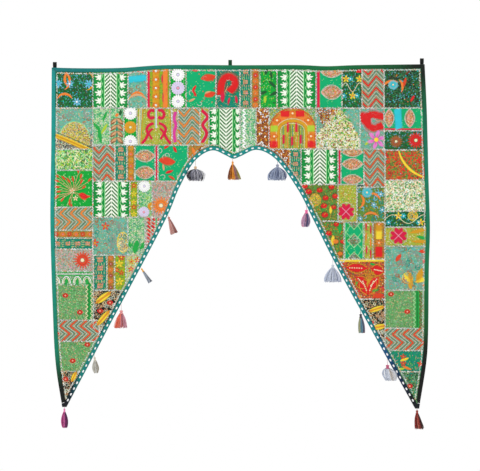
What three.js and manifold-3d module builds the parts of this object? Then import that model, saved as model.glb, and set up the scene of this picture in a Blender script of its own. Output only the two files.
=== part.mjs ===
// A toran: a door hanging of embroidered patchwork with an arch cut out for the doorway.
// It hangs flat against the wall from three tape loops, with tassels along the arch.
// Millimetres. X runs to the right, Z up, and Y away from the viewer, who sees the face
// that looks towards -Y. The origin is the middle of the top edge.
import * as THREE from "three";
import { mergeVertices } from "three/addons/utils/BufferGeometryUtils.js";
import Module from "manifold-3d";

const wasm = await Module();
wasm.setup();

// Cloth and tapes
const CLOTH_THICKNESS = 2; // patches, backing and lining, sewn flat together
const TAPE_THICKNESS = 1;
const TAPE_WIDTH = 12; // what shows of each tape that is folded over an edge
const FIT_GAP = 0.3; // between pieces that lie against each other
const FOLD_CHAMFER = 0.8; // on the outside of a tape's fold
const CREASE = 0.2; // on the inside of it
const CLOTH_INSET = TAPE_THICKNESS + CREASE + FIT_GAP; // from a tape's fold to the cloth's edge
const MITRE_GAP = 0.25; // taken off each tape where two meet at a corner
const TIP_CLEARANCE = 1.2; // between the side tape and the arch tape near a tip

// How the cloth stands off the wall
const RIPPLE = { depth: 6, pitch: 310, phase: 0.6, slant: 0.0016 };
const FINE_RIPPLE = { depth: 1.2, pitch: 173, phase: 2.1, slant: -0.0022 };
const FULL_RIPPLE_DROP = 350; // below the top edge, where the ripples reach their whole depth
const FOOT_CURL = { depth: 14, start: 600, length: 430 }; // the feet swing forward

// Heights that divide the outline
const SPRING = -369; // the arch leaves the straight legs here
const CLOTH_END = -990; // the cloth's own end inside the tapes of a foot
const TAPER_START = -1002;
const SIDE_TAPE_END = -1012; // the side tape stops here, above the arch tape's end
const TIP_START = -1013.5; // from here down the arch tape closes the whole tip

// The edges as they hang, each row a place on the edge
const TOP_EDGE = [
  { x: -559, z: -7 },
  { x: -480, z: -9 },
  { x: -350, z: -8 },
  { x: -230, z: 0 },
  { x: 0, z: 0 },
  { x: 200, z: 0 },
  { x: 262, z: -3 },
  { x: 345, z: 0 },
  { x: 560, z: 3 },
];
const LEFT_EDGE = [
  { x: -559, z: -7 },
  { x: -561, z: -240 },
  { x: -564, z: -450 },
  { x: -561, z: -600 },
  { x: -556, z: -730 },
  { x: -550, z: -850 },
  { x: -543, z: -920 },
  { x: -526, z: -1024 },
];
const RIGHT_EDGE = [
  { x: 560, z: 3 },
  { x: 566, z: -130 },
  { x: 571, z: -345 },
  { x: 575, z: -490 },
  { x: 572, z: -600 },
  { x: 568.5, z: -810 },
  { x: 564, z: -880 },
  { x: 541, z: -1028 },
];
const ARCH_POINT_X = -14; // between the two humps
const ARCH_EDGE = [
  { x: -513, z: -1024 }, // left foot
  { x: -408, z: -825 },
  { x: -207, z: -441 },
  { x: -177, z: -369 },
  { x: -124, z: -282 },
  { x: -76, z: -256 }, // left hump
  { x: -36, z: -271 },
  { x: ARCH_POINT_X, z: -281 },
  { x: 8, z: -273 },
  { x: 54, z: -254 }, // right hump
  { x: 104, z: -274 },
  { x: 177, z: -369 },
  { x: 228, z: -469 },
  { x: 285, z: -583 },
  { x: 417, z: -825 },
  { x: 529, z: -1028 }, // right foot
];

// How finely the cloth is divided
const CURVE_STEPS = 400; // points on each edge's smooth line
const LEG_STEPS = 22; // from the springing down to the cloth's end
const SHOULDER_STEPS = 7; // up each side above the springing
const TOP_STEPS = 29;
const SHOULDER_SHARE = 0.2; // of the arch's crown that faces each shoulder
const INNER_STEPS = 7; // between the two tapes

// Hanging loops: a tape folded over, both ends sewn to the back of the top tape
const LOOPS = [
  { name: "loop_left", x: -550, rise: 17 },
  { name: "loop_centre", x: -23.5, rise: 16 },
  { name: "loop_right", x: 552, rise: 18 },
];
const LOOP_WIDTH = 11;
const LOOP_SEWN = 10; // how far the ends reach down behind the top tape
const LOOP_HALF_GAP = 3.4; // inside, at the widest
const LOOP_CROWN = 1.5; // half the flat under the crown, where a nail or rod bears

// Tassels, from the left foot over the arch to the right foot. x is where the thread leaves
// the edge, thread its length, length and width the skirt's with its head, depth its size
// front to back, sway how far the skirt hangs to the right of its head, lean in degrees to
// the right, forward how far the head stands out in front, and yarn the strands' thickness.
// head is the head's radius, and full and hem are how wide the skirt is below its head and
// at its end, as shares of its width.
const TASSELS = [
  { name: "tassel_1", x: -519.5, thread: 5, length: 58, width: 23, depth: 18, sway: 1, lean: 0, forward: 0, yarn: 2.8, head: 3.2, full: 1.3, hem: 0.8 },
  { name: "tassel_2", x: -430, thread: 8, length: 49, width: 23, depth: 18, sway: 0, lean: 5, forward: 0, yarn: 2.8, head: 3.4, full: 1.3, hem: 0.7 },
  { name: "tassel_3", x: -349.5, thread: 20, length: 54, width: 42, depth: 22, sway: -2, lean: 0, forward: 0, yarn: 3.4, head: 5.6, full: 0.9, hem: 1 },
  { name: "tassel_4", x: -292, thread: 4, length: 50, width: 15, depth: 14, sway: 0, lean: 33, forward: 0, yarn: 2.4, head: 3, full: 0.7, hem: 1 },
  { name: "tassel_5", x: -211, thread: 6, length: 54, width: 25, depth: 18, sway: 0, lean: 19, forward: 0, yarn: 2.8, head: 4, full: 0.8, hem: 1 },
  { name: "tassel_6", x: -127.5, thread: 18, length: 45, width: 56, depth: 34, sway: 3, lean: 0, forward: 0, yarn: 4, head: 4.6, full: 1.15, hem: 0.85 },
  { name: "tassel_7", x: -16, thread: 8, length: 56, width: 42, depth: 24, sway: 5, lean: 0, forward: 0, yarn: 3.4, head: 3.4, full: 0.85, hem: 1 },
  { name: "tassel_8", x: 118.5, thread: 10, length: 49, width: 62, depth: 34, sway: -2, lean: 0, forward: 0, yarn: 4, head: 5, full: 1, hem: 0.95 },
  { name: "tassel_9", x: 205, thread: 13, length: 52, width: 30, depth: 22, sway: -3, lean: 0, forward: 0, yarn: 3, head: 4.8, full: 1, hem: 0.9 },
  { name: "tassel_10", x: 284, thread: 17, length: 54, width: 56, depth: 24, sway: 0, lean: 0, forward: 0, yarn: 3.8, head: 4.6, full: 0.9, hem: 1 },
  { name: "tassel_11", x: 367, thread: 12, length: 58, width: 23, depth: 18, sway: 0, lean: 4, forward: 0, yarn: 2.8, head: 4.6, full: 0.9, hem: 1 },
  { name: "tassel_12", x: 447, thread: 18, length: 48, width: 48, depth: 12, sway: 10, lean: 0, forward: 13, yarn: 3, head: 5.6, full: 1, hem: 0.95 },
  { name: "tassel_13", x: 535, thread: 5, length: 57, width: 28, depth: 20, sway: 7, lean: 0, forward: 0, yarn: 3, head: 4, full: 0.8, hem: 1 },
];
const THREAD_RADIUS = 0.9;
const HEAD_HEIGHT = 11; // from the head's top to the skirt's roots
const HEAD_SIDES = 6;
const STRAND_RINGS = [
  { count: 9, reach: 1 }, // the outside of the skirt
  { count: 4, reach: 0.42 },
];
const ROOT_SPREAD = 0.8; // of the outermost strands in the head, as a share of its radius
const ROOT_RADIUS = 0.6; // of a strand where it starts
const STRAND_STEPS = 2;
const BELLY = { sway: 0.3, down: 0.2 }; // where a strand bows out on its way down

// Colours seen on the front
const COLOURS = {
  cloth: 0x5f9a6a,
  sideTape: 0x147a5a,
  archTape: 0x168a80,
  loop: 0x0c3a26,
};
const TASSEL_COLOURS = [
  0xb8557f, 0xa39a82, 0xc97f72, 0x8d8f94, 0xb98a80, 0x8a8a94, 0xc9782a,
  0x7f8db0, 0xb080a8, 0xa3a8ba, 0x5f8798, 0xa9a9b4, 0x6b2018,
];

const smoothstep = (t) => {
  const c = Math.min(1, Math.max(0, t));
  return c * c * (3 - 2 * c);
};

const rippleAt = (ripple, x, z) =>
  ripple.depth * Math.sin((2 * Math.PI * x) / ripple.pitch + ripple.phase + ripple.slant * z);

// The cloth's middle surface: its Y at each place on the face.
function clothDepth(x, z) {
  const down = smoothstep(-z / FULL_RIPPLE_DROP);
  const curl = smoothstep((-z - FOOT_CURL.start) / FOOT_CURL.length);
  return down * (rippleAt(RIPPLE, x, z) + rippleAt(FINE_RIPPLE, x, z)) - FOOT_CURL.depth * curl;
}

// A place on the face, moved off the middle surface by lift.
const onCloth = (p, lift) => new THREE.Vector3(p.x, clothDepth(p.x, p.z) + lift, p.z);

const smoothLine = (rows) =>
  new THREE.CatmullRomCurve3(
    rows.map((row) => new THREE.Vector3(row.x, 0, row.z)),
    false,
    "centripetal",
  ).getPoints(CURVE_STEPS);

// Where a line that keeps falling or rising in the given axis passes a value of it.
function crossing(line, axis, value) {
  for (let i = 1; i < line.length; i++) {
    const [a, b] = [line[i - 1], line[i]];
    if ((a[axis] - value) * (b[axis] - value) <= 0 && a[axis] !== b[axis])
      return a.clone().lerp(b, (value - a[axis]) / (b[axis] - a[axis]));
  }
  throw new Error(`no place on the line has ${axis} ${value}`);
}

// The same line with evenly spaced points.
const spaced = (points, steps) =>
  new THREE.CatmullRomCurve3(points, false, "centripetal").getSpacedPoints(steps);

// Unit normals in the face's plane, on the left hand of the way the line runs, longer at a
// corner so that a line offset by them keeps its distance.
function normalsOf(line) {
  const sides = line.slice(1).map((p, i) => {
    const along = p.clone().sub(line[i]).normalize();
    return new THREE.Vector3(-along.z, 0, along.x);
  });
  return line.map((_, i) => {
    const before = sides[Math.max(i - 1, 0)];
    const after = sides[Math.min(i, sides.length - 1)];
    return before.clone().add(after).divideScalar(1 + before.dot(after));
  });
}

// A closed solid between two rails, swept through its stations. Each station holds the same
// number of points on both rails.
function ladderSolid(stations) {
  const rungs = stations[0].outer.length;
  const positions = [];
  for (const { outer, inner } of stations)
    for (const p of [...outer, ...inner]) positions.push(p.x, p.y, p.z);
  const outerAt = (i, k) => i * 2 * rungs + k;
  const innerAt = (i, k) => outerAt(i, k) + rungs;
  const faces = [];
  const quad = (a, b, c, d) => faces.push(a, b, c, a, c, d);
  const last = stations.length - 1;
  for (let i = 0; i < last; i++) {
    for (let k = 0; k < rungs - 1; k++) {
      quad(outerAt(i, k), outerAt(i, k + 1), outerAt(i + 1, k + 1), outerAt(i + 1, k));
      quad(innerAt(i, k), innerAt(i + 1, k), innerAt(i + 1, k + 1), innerAt(i, k + 1));
    }
    quad(outerAt(i, 0), outerAt(i + 1, 0), innerAt(i + 1, 0), innerAt(i, 0));
    const k = rungs - 1;
    quad(outerAt(i, k), innerAt(i, k), innerAt(i + 1, k), outerAt(i + 1, k));
  }
  for (let k = 0; k < rungs - 1; k++) {
    quad(outerAt(0, k), innerAt(0, k), innerAt(0, k + 1), outerAt(0, k + 1));
    quad(outerAt(last, k), outerAt(last, k + 1), innerAt(last, k + 1), innerAt(last, k));
  }
  const geometry = new THREE.BufferGeometry();
  geometry.setAttribute("position", new THREE.Float32BufferAttribute(positions, 3));
  geometry.setIndex(faces);
  geometry.computeVertexNormals();
  return geometry;
}

// Both edges of the U-shaped cloth, walked from the left foot over the top to the right
// foot, with the same number of stations.
const archLine = smoothLine(ARCH_EDGE);
const leftLine = smoothLine(LEFT_EDGE);
const rightLine = smoothLine(RIGHT_EDGE);
const topLine = smoothLine(TOP_EDGE);
const leftArch = archLine.filter((p) => p.x < ARCH_POINT_X);
const rightArch = archLine.filter((p) => p.x > ARCH_POINT_X);

const legHeights = Array.from(
  { length: LEG_STEPS + 1 },
  (_, i) => CLOTH_END + ((SPRING - CLOTH_END) * i) / LEG_STEPS,
);
const footHeights = [TIP_START, SIDE_TAPE_END, TAPER_START];
const risingHeights = [...footHeights, ...legHeights];

// The crown between the two springings, with the stations that face the left shoulder, the
// top and the right shoulder.
function crownStations() {
  const crown = archLine.filter((p) => p.z > SPRING + 1);
  crown.unshift(crossing(leftArch, "z", SPRING));
  crown.push(crossing(rightArch, "z", SPRING));
  const curve = new THREE.CatmullRomCurve3(crown, false, "centripetal");
  const places = [];
  const share = (from, to, steps) => {
    for (let i = 1; i <= steps; i++) places.push(curve.getPointAt(from + ((to - from) * i) / steps));
  };
  share(0, SHOULDER_SHARE, SHOULDER_STEPS);
  share(SHOULDER_SHARE, 1 - SHOULDER_SHARE, TOP_STEPS);
  share(1 - SHOULDER_SHARE, 1, SHOULDER_STEPS);
  return places;
}

function shoulderStations(line, upwards) {
  const above = line.filter((p) => p.z > SPRING + 1);
  above.push(crossing(line, "z", SPRING));
  const places = spaced(above, SHOULDER_STEPS);
  return upwards ? places.reverse().slice(1) : places.slice(1);
}

const downwards = [...risingHeights].reverse().slice(1);
const outerEdge = [
  leftLine[leftLine.length - 1],
  ...risingHeights.map((z) => crossing(leftLine, "z", z)),
  ...shoulderStations(leftLine, true),
  ...spaced(topLine, TOP_STEPS).slice(1),
  ...shoulderStations(rightLine, false),
  ...downwards.map((z) => crossing(rightLine, "z", z)),
  rightLine[rightLine.length - 1],
];
const innerEdge = [
  archLine[0],
  ...risingHeights.map((z) => crossing(leftArch, "z", z)),
  ...crownStations(),
  ...downwards.map((z) => crossing(rightArch, "z", z)),
  archLine[archLine.length - 1],
];
const stationCount = outerEdge.length;
const lastStation = stationCount - 1;
const leftCorner = 1 + risingHeights.length + SHOULDER_STEPS - 1;
const rightCorner = leftCorner + TOP_STEPS;
const clothFrom = 1 + footHeights.length;

// Both normals point into the cloth. At both tips the arch tape is cut off level and reaches
// the outer edge, and it is level too where the side tape stops.
const outerNormals = normalsOf(outerEdge).map((n) => n.negate());
const innerNormals = normalsOf(innerEdge);
for (const i of [0, 1, lastStation - 1, lastStation]) {
  const across = outerEdge[i].clone().sub(innerEdge[i]);
  innerNormals[i] = across.divideScalar(TAPE_WIDTH);
}
for (const i of [2, lastStation - 2])
  innerNormals[i] = new THREE.Vector3(1 / innerNormals[i].x, 0, 0);

const offsetBy = (p, normal, distance) => p.clone().addScaledVector(normal, distance);

// The cloth itself, in rings from the outer edge to the arch.
function patchworkCloth() {
  const stations = [];
  for (let i = clothFrom; i < stationCount - clothFrom; i++) {
    const [outerPoint, innerPoint] = [outerEdge[i], innerEdge[i]];
    const [outerNormal, innerNormal] = [outerNormals[i], innerNormals[i]];
    const outerRing = offsetBy(outerPoint, outerNormal, TAPE_WIDTH);
    const innerRing = offsetBy(innerPoint, innerNormal, TAPE_WIDTH);
    const places = [offsetBy(outerPoint, outerNormal, CLOTH_INSET)];
    for (let k = 0; k <= INNER_STEPS; k++)
      places.push(outerRing.clone().lerp(innerRing, k / INNER_STEPS));
    places.push(offsetBy(innerPoint, innerNormal, CLOTH_INSET));
    stations.push({
      outer: places.map((p) => onCloth(p, -CLOTH_THICKNESS / 2)),
      inner: places.map((p) => onCloth(p, CLOTH_THICKNESS / 2)),
    });
  }
  return ladderSolid(stations);
}

// A tape folded over an edge, as a U in section. Each width is what lies on the face, and
// hand is 1 where the cloth is on the left of the way the tape runs, or else -1.
function foldedTape(places, normals, widths, hand) {
  const face = CLOTH_THICKNESS / 2 + FIT_GAP;
  const back = face + TAPE_THICKNESS;
  return ladderSolid(
    places.map((place, i) => {
      const section = (rows) =>
        rows.map(([inset, lift]) => onCloth(offsetBy(place, normals[i], inset), hand * lift));
      const width = widths[i];
      return {
        outer: section([
          [width, -back],
          [FOLD_CHAMFER, -back],
          [0, 0],
          [FOLD_CHAMFER, back],
          [width, back],
        ]),
        inner: section([
          [width, -face],
          [TAPE_THICKNESS + CREASE, -face],
          [TAPE_THICKNESS, 0],
          [TAPE_THICKNESS + CREASE, face],
          [width, face],
        ]),
      };
    }),
  );
}

// How wide a side tape may be at a station: near a foot it narrows, clear of the arch tape.
function sideTapeWidth(i) {
  const outerPoint = outerEdge[i];
  const archSide = offsetBy(innerEdge[i], innerNormals[i], TAPE_WIDTH);
  if (outerPoint.z > SPRING) return TAPE_WIDTH;
  const room = Math.abs(archSide.x - outerPoint.x) - Math.abs(archSide.z - outerPoint.z) - TIP_CLEARANCE;
  return Math.min(TAPE_WIDTH, Math.max(room, TAPE_THICKNESS + 2 * CREASE));
}

// One tape on the outer edge, from one station to another. Its ends at the top corners are
// mitred.
function outerTape(from, to) {
  const places = [];
  const widths = [];
  for (let i = from; i <= to; i++) {
    places.push(outerEdge[i].clone());
    widths.push(sideTapeWidth(i));
  }
  const clear = (corner, way) =>
    places[corner].addScaledVector(way.clone().sub(places[corner]).normalize(), MITRE_GAP);
  if (from === leftCorner || from === rightCorner) clear(0, places[1]);
  if (to === leftCorner || to === rightCorner) clear(places.length - 1, places[places.length - 2]);
  return foldedTape(places, outerNormals.slice(from, to + 1), widths, -1);
}

const archTape = () => foldedTape(innerEdge, innerNormals, innerEdge.map(() => TAPE_WIDTH), 1);

// A loop seen from the side, drawn with Y to the right and Z up from the top edge.
function hangingLoop(rise) {
  const gapRows = [
    { y: 0.4, z: 3 },
    { y: LOOP_HALF_GAP * 0.72, z: rise * 0.36 },
    { y: LOOP_HALF_GAP, z: rise * 0.58 },
    { y: LOOP_HALF_GAP * 0.86, z: rise * 0.78 },
    { y: LOOP_CROWN, z: rise - TAPE_THICKNESS },
  ];
  const tapeRows = [
    { y: TAPE_THICKNESS, z: -LOOP_SEWN },
    { y: TAPE_THICKNESS, z: 1 },
    ...gapRows.slice(1, 4).map((row) => ({ y: row.y + TAPE_THICKNESS, z: row.z })),
    { y: LOOP_CROWN + TAPE_THICKNESS / 2, z: rise },
  ];
  const outline = (rows) => [
    ...rows.map((row) => new THREE.Vector2(row.y, row.z)),
    ...[...rows].reverse().map((row) => new THREE.Vector2(-row.y, row.z)),
  ];
  const shape = new THREE.Shape(outline(tapeRows));
  shape.holes.push(new THREE.Path(outline(gapRows)));
  const geometry = new THREE.ExtrudeGeometry(shape, { depth: LOOP_WIDTH, bevelEnabled: false });
  geometry.translate(0, 0, -LOOP_WIDTH / 2);
  const [x, y, z] = [new THREE.Vector3(1, 0, 0), new THREE.Vector3(0, 1, 0), new THREE.Vector3(0, 0, 1)];
  return geometry.applyMatrix4(new THREE.Matrix4().makeBasis(y, z, x));
}

function toSolid(geometry) {
  const bare = geometry.clone();
  for (const name of ["normal", "uv"]) bare.deleteAttribute(name);
  const merged = mergeVertices(bare, 1e-4);
  return new wasm.Manifold(
    new wasm.Mesh({
      numProp: 3,
      vertProperties: merged.attributes.position.array,
      triVerts: new Uint32Array(merged.index.array),
    }),
  );
}

function toGeometry(solid) {
  const mesh = solid.getMesh();
  const geometry = new THREE.BufferGeometry();
  geometry.setAttribute("position", new THREE.BufferAttribute(mesh.vertProperties, mesh.numProp));
  geometry.setIndex(new THREE.BufferAttribute(mesh.triVerts, 1));
  geometry.computeVertexNormals();
  return geometry;
}

// A rod of few sides along a curve.
function rod(curve, radius, sides, steps) {
  const section = new THREE.Shape(
    Array.from({ length: sides }, (_, i) => {
      const turn = (2 * Math.PI * i) / sides;
      return new THREE.Vector2(radius * Math.cos(turn), radius * Math.sin(turn));
    }),
  );
  return new THREE.ExtrudeGeometry(section, { steps, bevelEnabled: false, extrudePath: curve });
}

// One strand of yarn along a curve that runs downwards, three-sided and thin at its root.
function strand(path, rootRadius, hemRadius) {
  const positions = [];
  const faces = [0, 1, 2];
  for (let i = 0; i <= STRAND_STEPS; i++) {
    const middle = path.getPoint(i / STRAND_STEPS);
    const radius = rootRadius + ((hemRadius - rootRadius) * i) / STRAND_STEPS;
    for (let k = 0; k < 3; k++) {
      const turn = (2 * Math.PI * k) / 3;
      positions.push(middle.x + radius * Math.cos(turn), middle.y + radius * Math.sin(turn), middle.z);
    }
  }
  for (let i = 0; i < STRAND_STEPS; i++)
    for (let k = 0; k < 3; k++) {
      const [a, b] = [3 * i + k, 3 * i + ((k + 1) % 3)];
      faces.push(a, a + 3, b, b, a + 3, b + 3);
    }
  const end = 3 * STRAND_STEPS;
  faces.push(end, end + 2, end + 1);
  const geometry = new THREE.BufferGeometry();
  geometry.setAttribute("position", new THREE.Float32BufferAttribute(positions, 3));
  geometry.setIndex(faces);
  return geometry;
}

// The tied head: a knot, a bound neck and the shoulder that the skirt hangs from.
function tasselHead(radius) {
  const rows = [
    { r: 0, z: 0 },
    { r: radius * 0.75, z: -0.8 },
    { r: radius, z: -3 },
    { r: radius * 0.72, z: -5.4 },
    { r: radius * 0.78, z: -6.6 },
    { r: radius * 1.2, z: -HEAD_HEIGHT + 1 },
    { r: 0, z: -HEAD_HEIGHT },
  ];
  const profile = rows.reverse().map((row) => new THREE.Vector2(row.r, row.z));
  return new THREE.LatheGeometry(profile, HEAD_SIDES).rotateX(Math.PI / 2);
}

// A whole tassel below the place where its thread leaves the edge. drop is how far down the
// thread starts, just clear of the tape.
function tassel(row, drop) {
  const headTop = new THREE.Vector3(0, -row.forward, -row.thread);
  const start = new THREE.Vector3(0, 0, -drop);
  const intoHead = headTop.clone().add(new THREE.Vector3(0, 0, -1.5));
  let solid = toSolid(rod(new THREE.LineCurve3(start, intoHead), THREAD_RADIUS, 6, 1));
  solid = solid.add(toSolid(tasselHead(row.head).translate(headTop.x, headTop.y, headTop.z)));
  const rootHeight = headTop.z - HEAD_HEIGHT + 3;
  const hemHeight = headTop.z - row.length;
  for (const ring of STRAND_RINGS)
    for (let i = 0; i < ring.count; i++) {
      const turn = (2 * Math.PI * (i + 0.5 * ring.reach)) / ring.count;
      const [across, deep] = [Math.cos(turn) * ring.reach, Math.sin(turn) * ring.reach];
      const half = { x: (row.width - row.yarn) / 2, y: (row.depth - row.yarn) / 2 };
      const at = (sway, x, y, height) =>
        new THREE.Vector3(row.sway * sway + across * x, headTop.y + deep * y, height);
      const root = at(0, row.head * ROOT_SPREAD, row.head * ROOT_SPREAD, rootHeight);
      const hem = at(1, half.x * row.hem, half.y * row.hem, hemHeight);
      const bellyHeight = rootHeight + (hemHeight - rootHeight) * BELLY.down;
      const belly = at(BELLY.sway, half.x * row.full, half.y * row.full, bellyHeight);
      const path = new THREE.QuadraticBezierCurve3(root, belly, hem);
      solid = solid.add(toSolid(strand(path, ROOT_RADIUS, row.yarn / 2)));
    }
  return toGeometry(solid);
}

// Where a tassel's thread leaves the arch: the place, and the slope of the edge there.
function hangingPlace(x) {
  if (x < ARCH_EDGE[0].x || x > ARCH_EDGE[ARCH_EDGE.length - 1].x) {
    const foot = x < 0 ? innerEdge[0] : innerEdge[lastStation];
    return { place: new THREE.Vector3(x, 0, foot.z), slope: 0 };
  }
  const [before, after] = [crossing(archLine, "x", x - 1), crossing(archLine, "x", x + 1)];
  return { place: crossing(archLine, "x", x), slope: (after.z - before.z) / 2 };
}

const toran = new THREE.Group();

function addPiece(name, geometry, colour, roughness = 0.9) {
  const material = new THREE.MeshStandardMaterial({ color: colour, roughness, metalness: 0 });
  const mesh = new THREE.Mesh(geometry, material);
  mesh.name = name;
  toran.add(mesh);
  return mesh;
}

addPiece("patchwork_cloth", patchworkCloth(), COLOURS.cloth);
addPiece("tape_left", outerTape(2, leftCorner), COLOURS.sideTape);
addPiece("tape_top", outerTape(leftCorner, rightCorner), COLOURS.sideTape);
addPiece("tape_right", outerTape(rightCorner, lastStation - 2), COLOURS.sideTape);
addPiece("tape_arch", archTape(), COLOURS.archTape);

const tapeBack = CLOTH_THICKNESS / 2 + FIT_GAP + TAPE_THICKNESS;
for (const row of LOOPS) {
  const loop = addPiece(row.name, hangingLoop(row.rise), COLOURS.loop);
  loop.position.set(row.x, tapeBack + FIT_GAP + TAPE_THICKNESS, crossing(topLine, "x", row.x).z);
}

TASSELS.forEach((row, i) => {
  const { place, slope } = hangingPlace(row.x);
  const lean = THREE.MathUtils.degToRad(row.lean);
  const facing = (slope * Math.sin(lean) + Math.cos(lean)) / Math.hypot(slope, 1);
  const drop = (FIT_GAP + THREAD_RADIUS * Math.sqrt(1 - facing * facing)) / facing;
  const piece = addPiece(row.name, tassel(row, drop), TASSEL_COLOURS[i]);
  piece.position.copy(onCloth(place, 0));
  piece.rotation.y = -lean;
});

export default toran;
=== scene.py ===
"""A toran: an embroidered patchwork door hanging with an arch cut out, tape edges and tassels.

Places and sizes are millimetres in the frame's own axes: x to the right, z up, and the face
looks towards -Y. Every mesh is laid on the same hanging surface as the solids.
"""
import math
import bpy
import numpy as np
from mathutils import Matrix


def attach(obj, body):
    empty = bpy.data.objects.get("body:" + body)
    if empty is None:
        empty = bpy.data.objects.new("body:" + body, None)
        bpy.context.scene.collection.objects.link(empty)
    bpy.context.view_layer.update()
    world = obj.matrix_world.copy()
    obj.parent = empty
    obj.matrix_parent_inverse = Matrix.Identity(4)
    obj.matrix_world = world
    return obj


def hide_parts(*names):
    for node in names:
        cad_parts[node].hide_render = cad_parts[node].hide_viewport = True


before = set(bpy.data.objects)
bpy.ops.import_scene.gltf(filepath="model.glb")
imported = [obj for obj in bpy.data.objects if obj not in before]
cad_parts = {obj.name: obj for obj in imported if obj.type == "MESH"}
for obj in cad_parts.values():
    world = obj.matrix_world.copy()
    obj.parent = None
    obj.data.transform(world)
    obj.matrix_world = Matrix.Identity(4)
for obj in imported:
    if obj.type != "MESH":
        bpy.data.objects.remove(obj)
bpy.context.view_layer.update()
MM = 0.001
TAU = 2 * math.pi
rng = np.random.default_rng(23)

# The hanging surface and the edges, as in the solids
RIPPLE = dict(depth=6, pitch=310, phase=0.6, slant=0.0016)
FINE_RIPPLE = dict(depth=1.2, pitch=173, phase=2.1, slant=-0.0022)
FULL_RIPPLE_DROP = 350
FOOT_CURL = dict(depth=14, start=600, length=430)
SPRING = -369
CLOTH_END = -990
TAPER_START = -1002
SIDE_TAPE_END = -1012
TIP_START = -1013.5
TIP_CLEARANCE = 1.2
FACE = 1.0
TAPE_WIDTH = 12
TAPE_THICKNESS = 1.0
FIT_GAP = 0.3
CREASE = 0.2
FOLD_CHAMFER = 0.8
MITRE_GAP = 0.25
TAPE_FACE = FACE + FIT_GAP
TAPE_BACK = TAPE_FACE + TAPE_THICKNESS

TOP_EDGE = [(-559, -7), (-480, -9), (-350, -8), (-230, 0), (0, 0), (200, 0), (262, -3),
            (345, 0), (560, 3)]
LEFT_EDGE = [(-559, -7), (-561, -240), (-564, -450), (-561, -600), (-556, -730),
             (-550, -850), (-543, -920), (-526, -1024)]
RIGHT_EDGE = [(560, 3), (566, -130), (571, -345), (575, -490), (572, -600), (568.5, -810),
              (564, -880), (541, -1028)]
ARCH_EDGE = [(-513, -1024), (-408, -825), (-207, -441), (-177, -369), (-124, -282),
             (-76, -256), (-36, -271), (-14, -281), (8, -273), (54, -254), (104, -274),
             (177, -369), (228, -469), (285, -583), (417, -825), (529, -1028)]
ARCH_MIDDLE = -14
EDGE_CURVE_STEPS = 400
ARCH_CURVE_STEPS = 600
CROWN_CURVE_STEPS = 2000
FAR_BELOW = -2000
LEG_STEPS = 56
SHOULDER_STEPS = 14
TOP_STEPS = 54
SHOULDER_SHARE = 0.2
TIP_STATIONS = 4
RUNGS = 26


def smoothstep(t):
    t = np.clip(t, 0, 1)
    return t * t * (3 - 2 * t)


def ripple(r, x, z):
    return r["depth"] * np.sin(TAU * x / r["pitch"] + r["phase"] + r["slant"] * z)


def depth(x, z):
    """The cloth's middle surface: its Y at each place on the face."""
    down = smoothstep(-z / FULL_RIPPLE_DROP)
    curl = smoothstep((-z - FOOT_CURL["start"]) / FOOT_CURL["length"])
    waves = ripple(RIPPLE, x, z) + ripple(FINE_RIPPLE, x, z)
    return down * waves - FOOT_CURL["depth"] * curl


def points_of(x, y, z):
    """One row of x, y, z for each place of arrays that fit each other."""
    return np.stack(np.broadcast_arrays(x, y, z), axis=-1).reshape(-1, 3)


def on_cloth(x, z, lift):
    """Metres, for places on the face moved off the middle surface by lift."""
    return points_of(x, depth(x, z) + lift, z) * MM


def arc(x, z, rx, rz, turn):
    """Points on a circle or an oval round x, z at the given angles."""
    return np.stack([x + rx * np.cos(turn), z + rz * np.sin(turn)], 1)


def toward(x, z, angle, far):
    """The place that far from x, z along the angle."""
    return x + far * np.cos(angle), z + far * np.sin(angle)


def turned(x, z, along, across, angle):
    """The places so far along and across the angle from x, z."""
    cos, sin = np.cos(angle), np.sin(angle)
    return x + along * cos - across * sin, z + along * sin + across * cos


def smooth_line(rows, steps):
    """A centripetal curve through the rows."""
    p = np.array(rows, float)
    p = np.vstack([2 * p[0] - p[1], p, 2 * p[-1] - p[-2]])
    points = []
    for s in np.linspace(0, len(rows) - 1, steps + 1):
        i = min(int(s), len(rows) - 2)
        t = s - i
        a, b, c, d = p[i:i + 4]
        ta, tb, tc = (math.sqrt(math.dist(m, n)) for m, n in ((a, b), (b, c), (c, d)))
        m1 = ((b - a) / ta - (c - a) / (ta + tb) + (c - b) / tb) * tb
        m2 = ((c - b) / tb - (d - b) / (tb + tc) + (d - c) / tc) * tb
        points.append(b + m1 * t + (3 * (c - b) - 2 * m1 - m2) * t ** 2
                      + (2 * (b - c) + m1 + m2) * t ** 3)
    return np.array(points)


def run_along(points):
    """How far along a line each of its points is."""
    return np.concatenate([[0], np.cumsum(np.hypot(*np.diff(points, axis=0).T))])


def resample(points, count):
    """count + 1 evenly spaced points along a line."""
    points = np.asarray(points, float)
    run = run_along(points)
    at = np.linspace(0, run[-1], count + 1)
    return np.stack([np.interp(at, run, points[:, 0]), np.interp(at, run, points[:, 1])], 1)


top_line, left_line, right_line = (
    smooth_line(rows, EDGE_CURVE_STEPS) for rows in (TOP_EDGE, LEFT_EDGE, RIGHT_EDGE))
arch_line = smooth_line(ARCH_EDGE, ARCH_CURVE_STEPS)
arch_slope = np.gradient(arch_line[:, 1], arch_line[:, 0])


def top_z(x):
    return np.interp(x, top_line[:, 0], top_line[:, 1])


def side_x(line, z):
    return np.interp(-np.asarray(z, float), -line[:, 1], line[:, 0])


def arch_z(x):
    return np.interp(x, arch_line[:, 0], arch_line[:, 1], left=FAR_BELOW, right=FAR_BELOW)


def margin(x, z):
    """How far inside the cloth's outline each place is."""
    slope = np.interp(x, arch_line[:, 0], arch_slope)
    above = (z - arch_z(x)) / np.hypot(1, slope)
    return np.minimum.reduce([x - side_x(left_line, z), side_x(right_line, z) - x,
                              top_z(x) - z, above])


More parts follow.
